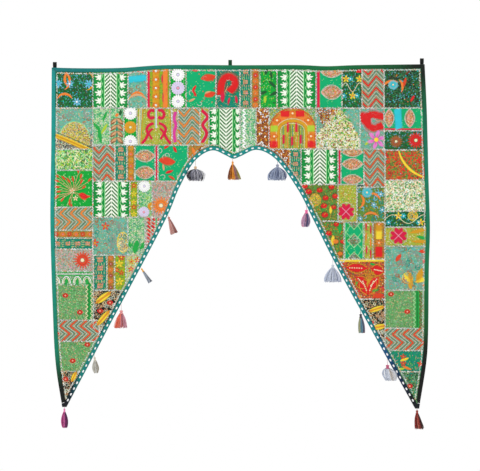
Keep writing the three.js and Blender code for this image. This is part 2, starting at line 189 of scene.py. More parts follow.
def normals_of(line):
    """Normals on the left hand of the way the line runs, longer at corners."""
    along = np.diff(line, axis=0)
    along /= np.hypot(*along.T)[:, None]
    side = np.stack([-along[:, 1], along[:, 0]], 1)
    before = np.vstack([side[:1], side])
    after = np.vstack([side, side[-1:]])
    return (before + after) / (1 + (before * after).sum(1))[:, None]


def at_heights(line, zs):
    order = np.argsort(line[:, 1])
    return np.stack([np.interp(zs, line[order, 1], line[order, 0]), zs], 1)


def shoulder(line):
    """The stations of a side edge above the spring of the arch."""
    above = line[line[:, 1] > SPRING + 1]
    return resample(np.vstack([above, at_heights(line, [SPRING])]), SHOULDER_STEPS)


def build_edges():
    """The outer edge and the arch edge, with the same number of stations on both."""
    heights = np.concatenate([[TIP_START, SIDE_TAPE_END, TAPER_START],
                              np.linspace(CLOTH_END, SPRING, LEG_STEPS + 1)])
    middle = arch_line[:, 0].searchsorted(ARCH_MIDDLE)
    left_arch, right_arch = arch_line[:middle], arch_line[middle:]
    crown = np.vstack([at_heights(left_arch, [SPRING]), arch_line[arch_line[:, 1] > SPRING + 1],
                       at_heights(right_arch, [SPRING])])
    stops = (0, SHOULDER_SHARE, 1 - SHOULDER_SHARE, 1)
    steps = (SHOULDER_STEPS, TOP_STEPS, SHOULDER_STEPS)
    shares = np.concatenate([np.linspace(a, b, n + 1)[1:]
                             for a, b, n in zip(stops, stops[1:], steps)])
    picks = np.rint(shares * CROWN_CURVE_STEPS).astype(int)
    outer = np.vstack([
        left_line[-1:], at_heights(left_line, heights), shoulder(left_line)[::-1][1:],
        resample(top_line, TOP_STEPS)[1:], shoulder(right_line)[1:],
        at_heights(right_line, heights[::-1][1:]), right_line[-1:]])
    inner = np.vstack([
        arch_line[:1], at_heights(left_arch, heights), resample(crown, CROWN_CURVE_STEPS)[picks],
        at_heights(right_arch, heights[::-1][1:]), arch_line[-1:]])
    return outer, inner


outer_edge, inner_edge = build_edges()
left_corner = TIP_STATIONS + LEG_STEPS + SHOULDER_STEPS
right_corner = left_corner + TOP_STEPS
outer_normals = -normals_of(outer_edge)
inner_normals = normals_of(inner_edge)
for end in (0, 1, -2, -1):
    inner_normals[end] = (outer_edge[end] - inner_edge[end]) / TAPE_WIDTH
for end in (2, -3):
    inner_normals[end] = (1 / inner_normals[end][0], 0)


# Materials: every one is made of nodes, on the object's own coordinates

def srgb(r, g, b):
    return tuple(((c / 255 + 0.055) / 1.055) ** 2.4 if c > 10 else c / 3295 for c in (r, g, b))


def shade(colour, factor):
    return tuple(min(1.0, c * factor) for c in colour)


class Shader:
    """A material and the nodes that give its colour and its fine relief."""

    def __init__(self, name, roughness, sheen=0.0, metallic=0.0):
        self.material = bpy.data.materials.new(name)
        self.material.use_nodes = True
        tree = self.material.node_tree
        self.nodes, self.links = tree.nodes, tree.links
        self.inputs = self.nodes["Principled BSDF"].inputs
        self.inputs["Roughness"].default_value = roughness
        self.inputs["Metallic"].default_value = metallic
        self.inputs["Sheen Weight"].default_value = sheen
        self.inputs["Sheen Roughness"].default_value = 0.4
        self.inputs["Specular IOR Level"].default_value = 0.25
        self.place = self.nodes.new("ShaderNodeTexCoord").outputs["Object"]

    def node(self, kind, output, sockets, **settings):
        """An output of a new node whose sockets get values, colours or other outputs."""
        n = self.nodes.new("ShaderNode" + kind)
        for setting, value in settings.items():
            setattr(n, setting, value)
        for socket, value in sockets.items():
            if isinstance(value, bpy.types.NodeSocket):
                self.links.new(value, n.inputs[socket])
            else:
                n.inputs[socket].default_value = (*value, 1) if isinstance(value, tuple) else value
        return n.outputs[output]

    def noise(self, scale, detail=3.0):
        return self.node("TexNoise", "Fac", {"Scale": scale, "Detail": detail, "Vector": self.place})

    def wave(self, direction, scale, distortion):
        return self.node("TexWave", "Fac", {"Scale": scale, "Distortion": distortion,
                                            "Detail Scale": 2.0, "Vector": self.place},
                         bands_direction=direction)

    def maths(self, kind, a, b):
        return self.node("Math", "Value", {0: a, 1: b}, operation=kind)

    def mixed(self, factor, a, b):
        """Colour a where the factor is 0 and b where it is 1."""
        return self.node("Mix", 2, {"Factor": factor, 6: a, 7: b}, data_type="RGBA")

    def colour(self, colour):
        self.links.new(colour, self.inputs["Base Color"])
        return self.material

    def relief(self, height, strength, distance):
        sockets = {"Strength": strength, "Distance": distance, "Height": height}
        self.links.new(self.node("Bump", "Normal", sockets), self.inputs["Normal"])


def cloth_material(name, colour, weave=900.0):
    """Plain woven cotton: crossed threads, slubs and a faded, uneven dye."""
    s = Shader(name, 0.88, sheen=0.25)
    threads = s.maths("MAXIMUM", s.wave("X", weave, 1.5), s.wave("Z", weave, 1.5))
    dyed = s.mixed(s.noise(38), shade(colour, 0.72), shade(colour, 1.22))
    lit = s.mixed(s.noise(420, 2), shade(colour, 0.78), dyed)
    s.relief(threads, 0.35, 0.0004)
    return s.colour(s.mixed(threads, shade(colour, 0.66), lit))


def thread_material(name, colour, roughness=0.5, metallic=0.0):
    """Embroidery floss: a soft sheen, fine twisted strands and uneven dye."""
    s = Shader(name, roughness, 0.2, metallic)
    strands = s.noise(1500, 1)
    dyed = s.mixed(s.noise(120, 2), shade(colour, 0.74), shade(colour, 1.18))
    s.relief(strands, 0.4, 0.0003)
    return s.colour(s.mixed(strands, shade(colour, 0.8), dyed))


def mirror_material(name):
    """Small glass mirrors, a little scratched and dulled."""
    s = Shader(name, 0.12, metallic=0.9)
    cloud = s.noise(260)
    s.relief(cloud, 0.08, 0.0002)
    return s.colour(s.mixed(cloud, (0.62, 0.66, 0.66), (0.92, 0.93, 0.92)))


def tape_material(name, axis, stops):
    """Woven cotton tape whose colour changes along one axis; stops are (metres, colour). On the edge
    tapes the stops give the tape's own colour and painted shade that turns it black near the feet
    and at the top right corner.
    """
    s = Shader(name, 0.8, sheen=0.3)
    low, span = stops[0][0], stops[-1][0] - stops[0][0]
    along = s.maths("SUBTRACT", s.node("SeparateXYZ", axis, {"Vector": s.place}), low)
    ramp = s.nodes.new("ShaderNodeValToRGB")
    s.links.new(s.maths("DIVIDE", along, span), ramp.inputs["Fac"])
    elements = ramp.color_ramp.elements
    while len(elements) < len(stops):
        elements.new(0.5)
    for element, (at, colour) in zip(elements, stops):
        element.position = (at - low) / span
        element.color = (*srgb(*colour), 1)
    # The ramp's colour: the tape's own colour and, on the edge tapes, painted shade near the feet
    # and the top right corner
    colouring = ramp.outputs["Color"]
    darker = s.node("HueSaturation", "Color", {"Value": 0.62, "Color": colouring})
    warp = s.wave("DIAGONAL", 620, 1.0)
    s.relief(warp, 0.5, 0.0004)
    return s.colour(s.mixed(s.maths("MULTIPLY", warp, 0.35), s.mixed(s.noise(55), darker, colouring),
                            darker))


# Meshes

def make_piece(name, verts, faces, materials, slot, replaces=(), indices=None):
    """One object from vertices in metres and faces of three corners or more."""
    mesh = bpy.data.meshes.new(name)
    mesh.from_pydata(verts.tolist(), [], faces)
    for m in materials:
        mesh.materials.append(m)
    if indices is not None:
        mesh.polygons.foreach_set("material_index", np.asarray(indices, np.int32))
    mesh.polygons.foreach_set("use_smooth", [True] * len(mesh.polygons))
    mesh.update()
    piece = bpy.data.objects.new(name, mesh)
    bpy.context.scene.collection.objects.link(piece)
    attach(piece, "root")
    if replaces:
        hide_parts(*replaces)
    return piece


def ladder(outer, inner):
    """Vertices and faces of a closed solid between two sheets of stations by rungs."""
    stations, rungs, _ = outer.shape
    faces = []
    last = (stations - 1) * 2 * rungs
    for a in range(0, last, 2 * rungs):
        b, end = a + 2 * rungs, rungs - 1
        for k in range(end):
            p, q = a + rungs + k, b + rungs + k
            faces += [(a + k, a + k + 1, b + k + 1, b + k), (p, q, q + 1, p + 1)]
        faces += [(a, b, b + rungs, a + rungs),
                  (a + end, a + rungs + end, b + rungs + end, b + end)]
    for k in range(rungs - 1):
        p, q = last + k, last + rungs + k
        faces += [(k, rungs + k, rungs + k + 1, k + 1), (p, p + 1, q + 1, q)]
    return np.concatenate([outer, inner], 1).reshape(-1, 3), faces


def backing_sheet():
    """The backing and lining under the patches, from the tapes' folds to the arch."""
    o, i, on, inn = (rows[TIP_STATIONS:-TIP_STATIONS] for rows in
                     (outer_edge, inner_edge, outer_normals, inner_normals))
    inset = TAPE_THICKNESS + CREASE + FIT_GAP
    share = np.linspace(0, 1, RUNGS + 1)[None, :, None]
    between = (o + on * TAPE_WIDTH)[:, None] * (1 - share) + (i + inn * TAPE_WIDTH)[:, None] * share
    rings = np.concatenate([(o + on * inset)[:, None], between, (i + inn * inset)[:, None]], 1)
    x, z = rings[..., 0], rings[..., 1]
    pucker = 0.2 * np.sin(x / 17.0 + np.sin(z / 23.0)) * smoothstep((margin(x, z) - 14) / 10)
    front = on_cloth(x, z, -FACE).reshape(*x.shape, 3)
    back = on_cloth(x, z, FACE + pucker).reshape(*x.shape, 3)
    lining = cloth_material("lining_cotton", srgb(20, 78, 60), weave=700)
    return make_piece("backing_cloth", *ladder(front, back), [lining], "patchwork",
                      ["patchwork_cloth"])


def folded_tape(name, node, places, normals, widths, hand, colouring, slot):
    """A tape folded over an edge, with the small puckers of its sewing."""
    def sheet(half, fold_inset):
        """Rows of share of the width, inset and lift, up one side and down the other."""
        rows = [(share, inset, -lift) for share, inset, lift in half] + [(0, fold_inset, 0)]
        out = []
        for share, inset, lift in rows + half[::-1]:
            p = places + normals * (share * np.array(widths) + inset)[:, None]
            out.append(on_cloth(p[:, 0], p[:, 1], hand * lift))
        return np.stack(out, 1)

    outer = sheet([(1, 0, TAPE_BACK), (0.7, 0, TAPE_BACK), (0.35, 0, TAPE_BACK),
                   (0, FOLD_CHAMFER, TAPE_BACK), (0, 0.25, 0.6 * TAPE_BACK)], 0)
    inner = sheet([(1, 0, TAPE_FACE), (0.7, 0, TAPE_FACE), (0.35, 0, TAPE_FACE),
                   (0, TAPE_THICKNESS + CREASE, TAPE_FACE), (0, TAPE_THICKNESS, 0.5)],
                  TAPE_THICKNESS)
    run = run_along(places)
    pucker = np.abs(0.16 * np.sin(run / 6.1) + 0.1 * np.sin(run / 2.9 + 1)) * MM
    for rung, way in ((1, -1), (2, -1), (-3, 1), (-2, 1)):
        outer[:, rung, 1] += hand * way * pucker
    make_piece(name, *ladder(outer, inner), [tape_material(*colouring)], slot, [node])


def side_widths(first, last):
    """How wide the side tape is at each station: it narrows near a foot."""
    out = []
    for i in range(first, last + 1):
        place = outer_edge[i]
        arch = inner_edge[i] + inner_normals[i] * TAPE_WIDTH
        room = abs(arch[0] - place[0]) - abs(arch[1] - place[1]) - TIP_CLEARANCE
        narrow = max(room, TAPE_THICKNESS + 2 * CREASE)
        out.append(TAPE_WIDTH if place[1] > SPRING else min(TAPE_WIDTH, narrow))
    return out


# Each tape's colours along it, in metres: its own teal and green colour, and painted shade that
# darkens it to black at the feet of the legs and of the arch and at the top right corner
TAPE_DYES_AND_PAINTED_SHADE = {
    "tape_left": ("Z", [(-1.03, (12, 14, 12)), (-0.965, (14, 22, 16)), (-0.93, (10, 66, 38)),
                        (-0.86, (12, 130, 100)), (-0.4, (18, 160, 144)), (0.0, (24, 150, 146))]),
    "tape_top": ("X", [(-0.57, (16, 120, 122)), (-0.25, (18, 132, 116)), (-0.05, (8, 122, 82)),
                       (0.3, (6, 112, 60)), (0.47, (6, 82, 42)), (0.53, (12, 24, 14))]),
    "tape_right": ("Z", [(-0.9, (10, 12, 10)), (-0.84, (12, 30, 16)), (-0.79, (8, 84, 40)),
                         (-0.62, (8, 118, 72)), (-0.3, (10, 128, 98)), (-0.09, (8, 92, 58)),
                         (-0.03, (12, 26, 16))]),
    "tape_arch": ("X", [(-0.513, (12, 16, 26)), (-0.495, (8, 52, 66)), (-0.47, (14, 132, 126)),
                        (0.0, (16, 146, 142)), (0.41, (14, 132, 138)), (0.44, (12, 84, 134)),
                        (0.485, (10, 44, 78)), (0.515, (12, 20, 28))]),
}


def make_tapes():
    """The three side and top lengths, mitred where they meet, and the arch tape."""
    stations = len(outer_edge)
    spans = {"tape_left": (2, left_corner), "tape_top": (left_corner, right_corner),
             "tape_right": (right_corner, stations - 3)}
    for name, (first, last) in spans.items():
        places = outer_edge[first:last + 1].copy()
        for end, beside, foot_end in ((0, 1, "tape_left"), (-1, -2, "tape_right")):
            if name != foot_end:
                step = places[beside] - places[end]
                places[end] += MITRE_GAP * step / np.hypot(*step)
        # The side and top tapes carry painted shade: black near the feet, and at the top right
        # corner on the top and right tapes
        folded_tape(name + "_cloth", name, places, outer_normals[first:last + 1],
                    side_widths(first, last), -1, (name + "_dye", *TAPE_DYES_AND_PAINTED_SHADE[name]), "side_tape")
    # The arch tape's colour darkens to painted shade at both feet
    folded_tape("tape_arch_cloth", "tape_arch", inner_edge, inner_normals, [TAPE_WIDTH] * stations,
                1, ("tape_arch_dye", *TAPE_DYES_AND_PAINTED_SHADE["tape_arch"]), "arch_tape")


# Embroidery: it is gathered by colour and becomes one mesh for each colour

# Each fabric's own colour, then what fills its ground: the colours of the threads, how many
# there are to a square millimetre, their length and their width
FABRICS = {
    "dark_green": ((20, 100, 50), ("teal", "green", "black", "brown", "sky"), 0.055, 5, 2),
    "leaf_green": ((10, 146, 60), ("green", "dark_green"), 0.02, 4, 1.4),
    "bright_green": ((6, 170, 56), ("green", "mint", "dark_green"), 0.02, 5, 1.8),
    "emerald": ((0, 178, 112), ("green", "teal", "mint"), 0.022, 4, 1.6),
    "teal": ((8, 138, 112), ("dark_green", "green", "beige", "teal"), 0.05, 4, 2),
    "grey_teal": ((112, 184, 154), ("grey", "teal", "turquoise", "beige", "copper", "silver"),
                  0.05, 5.5, 2),
    "sage": ((106, 168, 100), ("grey", "green", "beige", "sage", "moss", "mint"), 0.12, 4.4, 1.8),
    "pale_green": ((124, 198, 136), ("green", "mint", "silver", "teal", "cream"), 0.085, 8, 2),
    "lime": ((176, 186, 66), ("gold", "green", "copper", "cream"), 0.05, 5, 2),
    "cream": ((186, 212, 166), ("beige", "lime", "yellow", "grey", "green"), 0.09, 5, 2),
    "pink_grey": ((166, 184, 164), ("beige", "grey", "teal", "silver", "copper", "pink"),
                  0.12, 5, 2.2),
    "brown": ((150, 86, 42), ("orange", "copper", "gold", "black"), 0.06, 5, 2.2),
    "ochre": ((180, 132, 52), ("orange", "copper", "sage", "brown", "gold"), 0.09, 4.4, 2.2),
    "yellow_green": ((150, 182, 34), ("gold", "green", "moss"), 0.06, 5, 2),
    "grey": ((118, 158, 118), ("beige", "copper", "grey", "orange"), 0.07, 5, 1.8),
    "black": ((22, 24, 20), ("beige", "grey", "copper", "dark_green", "cream"), 0.09, 4.5, 2),
    "olive": ((104, 142, 58), ("green", "dark_green", "gold", "brown"), 0.06, 5, 2.2),
}
THREADS = {
    "white": (250, 250, 248), "cream": (236, 228, 184), "silver": (190, 204, 192),
    "grey": (140, 148, 138), "crimson": (216, 10, 66), "red": (222, 20, 24),
    "orange_red": (222, 66, 30), "orange": (236, 130, 44), "beige": (216, 168, 120),
    "yellow": (244, 212, 50), "gold": (214, 156, 28), "lime": (176, 206, 50),
    "green": (20, 168, 66), "dark_green": (12, 88, 40), "turquoise": (40, 196, 212),
    "sky": (112, 190, 222), "teal": (12, 142, 122), "magenta": (222, 56, 158),
    "lilac": (218, 206, 236), "brown": (116, 50, 24), "copper": (170, 92, 46),
    "black": (20, 20, 18), "pink": (236, 150, 176), "sage": (112, 158, 92),
    "orchid": (232, 132, 208), "ivory": (240, 250, 230), "mint": (158, 228, 156),
    "moss": (66, 108, 62),
}
STITCH = np.array([(-0.5, 0, 0), (-0.25, -0.5, 0), (0.25, -0.5, 0), (0.5, 0, 0),
                   (0.25, 0.5, 0), (-0.25, 0.5, 0), (-0.25, 0, 1), (0.25, 0, 1)])
STITCH_FACES = [(1, 2, 7, 6), (6, 7, 4, 5), (0, 1, 6), (0, 6, 5), (3, 7, 2), (3, 4, 7)]
TUFT = np.array([(-0.5, 0, 0), (0, -0.5, 0), (0.5, 0, 0), (0, 0.5, 0), (0, 0, 1)])
TUFT_FACES = [(0, 1, 4), (1, 2, 4), (2, 3, 4), (3, 0, 4)]
DISC_SIDES = 8
STITCH_OVERLAP = 1.25
SATIN_SPREAD = 1.05
LEAST_STITCH = 1.2
PATCH_GRID = 5
PATCH_MARGIN = 5
PATCH_LIFT = 0.12
PUFF_HEIGHT = 1.1
PUFF_REACH = 7.0
RUMPLE_HEIGHT = 0.18
FLAT_MARGIN = 12
FLAT_BLEND = 6
EMBROIDERY_MARGIN = 13.5
STITCH_END_MARGIN = 12.6
PATCH_OVERHANG = 0.5
ARROW_STEP = 11.5
LEAF_STEP = 23.5
BRAID_PITCH = 13
layers = {}
seams = []


class Area:
    """The rectangle of one patch, with its own puffed lift."""

    def __init__(self, x0, x1, top, bottom):
        self.x0, self.x1, self.top, self.bottom = x0, x1, top, bottom
        self.w, self.h = x1 - x0, top - bottom

    def at(self, u, v):
        """A place by its share of the width and of the height, counted downwards."""
        return np.array([self.x0 + self.w * u, self.top - self.h * v])

    def line(self, *shares):
        return np.array([self.at(u, v) for u, v in shares])

    def shares(self, x, z):
        return (x - self.x0) / self.w, (self.top - z) / self.h

    def cells(self, along, step, least):
        """The middles of equal cells in a row along z or x."""
        long = self.h if along == "z" else self.w
        count = max(least, int(long / step))
        shares = [(i + 0.5) / count for i in range(count)]
        return [self.at(0.5, s) if along == "z" else self.at(s, 0.5) for s in shares]

    def scatter(self, count):
        return self.x0 + self.w * rng.random(count), self.bottom + self.h * rng.random(count)

    def lift(self, x, z):
        edge = np.minimum.reduce([x - self.x0, self.x1 - x, self.top - z, z - self.bottom])
        puff = PUFF_HEIGHT * (1 - np.exp(-np.maximum(edge, 0) / PUFF_REACH))
        rumple = RUMPLE_HEIGHT * np.sin(x / 5.3 + z / 9.1) * np.sin(z / 6.7)
        free = smoothstep((margin(x, z) - FLAT_MARGIN) / FLAT_BLEND)
        return PATCH_LIFT + (puff + rumple * smoothstep(edge / 8)) * free

    def holds(self, x, z, slack=1.0):
        return ((x > self.x0 - slack) & (x < self.x1 + slack)
                & (z < self.top + slack) & (z > self.bottom - slack))


WHOLE_CLOTH = Area(-600, 600, 50, -1100)
area = WHOLE_CLOTH


def add_to_layer(name, x, z, lift, face_sets):
    """Adds places on the face, and arrays of faces between them, to the mesh of that name."""
    layer = layers.setdefault(name, dict(verts=[], faces=[], count=0))
    verts = on_cloth(x, z, -(FACE + lift))
    layer["verts"].append(verts)
    for faces in face_sets:
        layer["faces"] += (layer["count"] + faces).tolist()
    layer["count"] += len(verts)


def copies(name, x, z, lift, faces):
    """Adds many copies of a small form; each row of x and z holds the corners of one."""
    starts = np.arange(len(x))[:, None] * x.shape[1]
    add_to_layer(name, x, z, lift, [starts + np.array(face) for face in faces])


def clipped(x, z, angle, length):
    """Stitches shortened at either end where they would leave the patch or reach a tape."""
    ends = []
    for side in (-0.5, 0.5):
        ex, ez = toward(x, z, angle, side * length)
        ex = np.clip(ex, area.x0 - PATCH_OVERHANG, area.x1 + PATCH_OVERHANG)
        ez = np.clip(ez, area.bottom - PATCH_OVERHANG, area.top + PATCH_OVERHANG)
        here, there = margin(x, z), margin(ex, ez)
        short = np.clip((here - STITCH_END_MARGIN) / np.maximum(here - there, 0.01), 0.1, 1)
        ends.append((x + (ex - x) * short, z + (ez - z) * short))
    (ax, az), (bx, bz) = ends
    return (ax + bx) / 2, (az + bz) / 2, np.arctan2(bz - az, bx - ax), np.hypot(bx - ax, bz - az)


def columns_inside(rows, radius_row=None):
    """The rows, as columns, of the places that are in the patch and clear of the tapes."""
    rows = np.array(np.broadcast_arrays(*rows), float).reshape(len(rows), -1)
    room = EMBROIDERY_MARGIN + (0 if radius_row is None else rows[radius_row])
    good = area.holds(*rows[:2]) & (margin(*rows[:2]) > room)
    return rows[:, good][..., None]


def stitches(colour, x, z, angle, length, width, height, lift):
    """Raised stitches; all values but the colour may be arrays."""
    x, z, angle, length, width, height = columns_inside((x, z, angle, length, width, height))
    if len(x):
        x, z, angle, length = clipped(x, z, angle, length)
        px, pz = turned(x, z, STITCH[:, 0] * length, STITCH[:, 1] * width, angle)
        copies("thread_" + colour, px, pz, area.lift(x, z) + lift + STITCH[:, 2] * height,
               STITCH_FACES)


def discs(colour, x, z, radius, height=0.8, lift=0.2):
    """Low domes: sequins, mirrors, knots and beads."""
    x, z, radius = columns_inside((x, z, radius), radius_row=2)
    if len(x):
        turn = np.arange(DISC_SIDES) * TAU / DISC_SIDES
        rise = np.append(np.zeros(DISC_SIDES), height)
        faces = [(DISC_SIDES, i, (i + 1) % DISC_SIDES) for i in range(DISC_SIDES)]
        copies(colour, x + radius * np.append(np.cos(turn), 0),
               z + radius * np.append(np.sin(turn), 0), area.lift(x, z) + lift + rise, faces)


def walk(points, pitch):
    """Evenly spaced places along a line and the line's direction at each."""
    points = np.asarray(points, float)
    count = max(2, int(round(np.hypot(*np.diff(points, axis=0).T).sum() / pitch)))
    fine = resample(points, 2 * count)
    way = np.arctan2(*(fine[2::2] - fine[:-1:2]).T[::-1])
    return fine[1::2, 0], fine[1::2, 1], way, (np.arange(count) + 0.5) / count


def petal_profile(t):
    return np.sin(math.pi * np.clip(t, 0.02, 0.98)) ** 0.7


def soft_profile(t):
    return (1 - np.abs(2 * t - 1) ** 4) ** 0.5


def lens_profile(t):
    return np.sin(math.pi * np.clip(t, 0.03, 0.97)) ** 0.8


def oval_profile(t):
    return np.sqrt(np.clip(1 - (2 * t - 1) ** 2, 0, 1))


def satin(colour, points, width, pitch=2.1, slant=0.3, height=0.9, lift=0.5,
          profile=np.ones_like):
    """A band filled with stitches laid side by side across it."""
    x, z, way, share = walk(points, pitch)
    long = np.maximum(width * profile(share), LEAST_STITCH) * SATIN_SPREAD
    stitches(colour, x, z, way + math.pi / 2 + slant, long, pitch * STITCH_OVERLAP, height, lift)


def stripe(colour, x, width, slant=0.3):
    """A band of satin stitch from the patch's top to its bottom."""
    satin(colour, [(x, area.top), (x, area.bottom)], width, slant=slant)


def line(colour, points, width=1.6, pitch=5.0, height=0.6, lift=0.6):
    """A line of stitches laid end to end."""
    x, z, way, _ = walk(points, pitch)
    stitches(colour, x, z, way, pitch * STITCH_OVERLAP, width, height, lift)


def petal(colour, x, z, angle, length, width, height=1.0, lift=0.5):
    """One leaf or petal that starts at the place and points along the angle."""
    satin(colour, [(x, z), toward(x, z, angle, length)], width, profile=petal_profile,
          height=height, lift=lift)


def oval(colour, x, z, rx, rz, height, lift):
    satin(colour, [(x - rx, z), (x + rx, z)], 2 * rz, slant=0, profile=oval_profile,
          height=height, lift=lift)


def ring(colour, x, z, rx, rz=None, width=1.8, pitch=4.0, lift=0.6):
    points = arc(x, z, rx, rx if rz is None else rz, np.linspace(0, TAU, 25))
    line(colour, points, width, pitch, lift=lift)


def flower(colour, x, z, radius, petals, centre):
    for i in range(petals):
        angle = 0.3 + TAU * i / petals
        petal(colour, *toward(x, z, angle, 0.2 * radius), angle, 0.8 * radius,
              0.8 * radius * 5 / (petals + 2))
    discs("thread_" + centre, x, z, 0.24 * radius, lift=1.3)


def rosette(colour, x, z, radius, centre, rays=17):
    """A round flower of long stitches laid from its middle outwards."""
    glint = {"white": "silver", "lilac": "silver", "gold": "orange",
             "turquoise": "orange"}.get(colour)
    fat = 0.4 if glint else 0.15 if radius > 19 else 0.24
    for reach, wide, extra in ((1.0, 1.0, 0.0), (0.66, 0.7, 0.5)):
        turn = (np.arange(rays) + extra) * TAU / rays
        stitches(colour, *toward(x, z, turn, radius * (0.25 + reach) / 2), turn,
                 radius * (reach - 0.2), radius * fat * wide, 1.1, 0.5 + 0.5 * extra)
    if glint:
        stitches(glint, *toward(x, z, turn, 0.66 * radius), turn, 0.6 * radius, 1.1, 1.0, 0.9)
    discs("thread_" + centre, x, z, 0.2 * radius, lift=1.3)


def speckle(colours, density, length=4.6, width=2.0, inside=None, box=None, height=0.6,
            lift=0.1):
    """Short knots of thread scattered thickly over a patch or a part of it."""
    a = box or area
    for colour in colours:
        x, z = a.scatter(int(a.w * a.h * density / len(colours)))
        good = a.holds(x, z, -PATCH_OVERHANG) & (margin(x, z) > EMBROIDERY_MARGIN)
        if inside:
            good &= inside(x, z)
        x, z = x[good][:, None], z[good][:, None]
        turn = rng.random(x.shape) * TAU
        long = length * (0.6 + 0.8 * rng.random(x.shape))
        if len(x):
            px, pz = turned(x, z, TUFT[:, 0] * long, TUFT[:, 1] * width, turn)
            copies("thread_" + colour, px, pz, area.lift(x, z) + lift + TUFT[:, 2] * height,
                   TUFT_FACES)


# Motifs of the patches

def leaf_print(lo=0.33, hi=0.68, way=1):
    """Pale block print on green: a column of arrows between two wavy stems with leaves."""
    a = area
    mid = a.x0 + a.w * (lo + hi) / 2
    rise = a.w * (hi - lo) / 2 * way
    for i in range(int((a.h + 50) / ARROW_STEP)):
        z = a.top + 24 - i * ARROW_STEP
        for side in (lo, hi):
            far = a.x0 + a.w * side
            line("ivory", [(far, z - rise), (mid, z)], 4.4, 6, 0.35, 0.15)
            line("moss", [(far, z - rise - 6), (mid, z - 6)], 2.8, 6, 0.3, 0.15)
    line("ivory", [(mid, a.top), (mid, a.bottom)], 2.2, 6, 0.35, 0.2)
    down = np.arange(0, a.h, 3)
    for u, outwards in ((lo, -1), (hi, 1)):
        edge = a.x0 + a.w * u
        line("mint", [(edge, a.top), (edge, a.bottom)], 3, 6, 0.35, 0.3)
        stem = edge + outwards * 8.5
        waves = stem + 2.4 * np.sin(down * TAU / LEAF_STEP)
        line("mint", np.stack([waves, a.top - down], 1), 2, 5, 0.35, 0.15)
        for k in range(int(a.h / LEAF_STEP) + 1):
            z = a.top - 10 - k * LEAF_STEP
            for turn, long in ((-1.1, 10), (-0.45, 15), (0.2, 18), (0.8, 14), (1.5, 9)):
                angle = turn if outwards > 0 else math.pi - turn
                petal("ivory", stem + outwards * 3, z, angle, long, 6, 0.4, 0.15)


def zigzags(colour, along="z", step=31, thick=4.8):
    """Bold zigzag lines, with fine pale lines between each two."""
    a = area
    upright = along == "z"
    for i in range(-1, int((a.h if upright else a.w) / step) + 2):
        for shift, name, wide in ((0, colour, thick), (0.32, "silver", 2.2), (0.5, "teal", 1.2),
                                  (0.68, "silver", 2.2)):
            at = 8 + (i + shift) * step
            points = [(a.x0 + a.w * u, a.top - at + rise) if upright
                      else (a.x0 + at + rise, a.top - a.h * u)
                      for u, rise in ((-0.02, 4), (0.28, -17), (0.64, 13), (1.02, -13))]
            for ends in zip(points, points[1:]):
                satin(name, ends, wide, slant=0.5)


def squares(along="z"):
    """Beige squares on teal among rows of small knots."""
    side = (area.w if along == "z" else area.h) * 0.42
    for x, z in area.cells(along, 26, 1):
        satin("beige", [(x - side / 2, z), (x + side / 2, z)], side * 0.86, slant=0)
        speckle(("pink", "orange", "copper", "sage"), 0.2, 4, 1.8, lift=1.2,
                box=Area(x - side / 2, x + side / 2, z + side / 2, z - side / 2))
        for reach in (-0.95, -0.72, 0.72, 0.95):
            for across in (-0.6, -0.2, 0.2, 0.6):
                du, dv = (across, reach) if along == "z" else (reach, across)
                discs("thread_beige" if reach < 0 else "thread_mint", x + du * side * 1.2,
                      z + dv * side, 1.2, lift=0.5)
        line("teal", [(x - side * 0.6, z), (x + side * 0.6, z)], 1.4, 4, lift=1.3)


def beads(along="z", colours=("orange", "orange_red"), step=17):
    """A narrow band of small round flowers between two lines."""
    wide = area.w if along == "z" else area.h
    for i, (x, z) in enumerate(area.cells(along, step, 2)):
        rosette(colours[i % len(colours)], x, z, wide * 0.36, ("beige", "pink")[i % 2], 9)
    for u in (0.1, 0.9):
        ends = ((u, 0), (u, 1)) if along == "z" else ((0, u), (1, u))
        line("sage", area.line(*ends), 2.2, 4)


def sequins(inside=None):
    """Scattered discs of metal colours, in the whole patch or only where inside says so."""
    for colour in ("thread_copper", "thread_gold", "mirror", "thread_brown"):
        x, z = area.scatter(int(area.w * area.h / 95))
        if inside:
            x, z = x[inside(x, z)], z[inside(x, z)]
        if len(x):
            discs(colour, x, z, 1.6 + 1.2 * rng.random(len(x)), 0.9, 0.3)


def ovals(rows):
    """Large lens shapes filled with knots: rows of share across, share down, and radii."""
    for u, v, rx, rz in rows:
        x, z = area.at(u, v)
        level = rx >= rz
        long, tall = (rx, rz) if level else (rz, rx)

        def within(px, pz):
            run, rise = (px - x, pz - z) if level else (pz - z, px - x)
            share = np.clip(np.abs(run) / long, 0, 1)
            return np.abs(rise) < tall * np.cos(share * math.pi / 2) ** 0.8

        ends = [(x - rx, z), (x + rx, z)] if level else [(x, z - rz), (x, z + rz)]
        satin("beige", ends, 2 * tall, slant=0, height=0.7, profile=lens_profile)
        speckle(("orange", "copper", "sage", "pink", "grey", "cream"), 0.16, 6, 2.2,
                inside=within, lift=1.15, height=0.7)
        t = np.linspace(-1, 1, 15)
        for k, name, wide in ((0.4, "orange", 1.6), (0.7, "copper", 1.8), (1.0, "silver", 2.2)):
            for side in (-1, 1):
                run, rise = k * long * t, side * k * tall * np.cos(t * math.pi / 2) ** 0.8
                points = (x + run, z + rise) if level else (x + rise, z + run)
                line(name, np.stack(points, 1), wide, 4, lift=1.3)


def ringed_dots(rows):
    """Round mirrors, each held by a ring of red stitches with a dark edge."""
    for x, z in rows:
        oval("red", x, z, 8.2, 8.2, 1.0, 0.6)
        ring("brown", x, z, 4.6, lift=1.3)
        discs("thread_orange", x, z, 3.4, lift=1.5)
        discs("thread_pink", x, z, 1.8, lift=2.0)


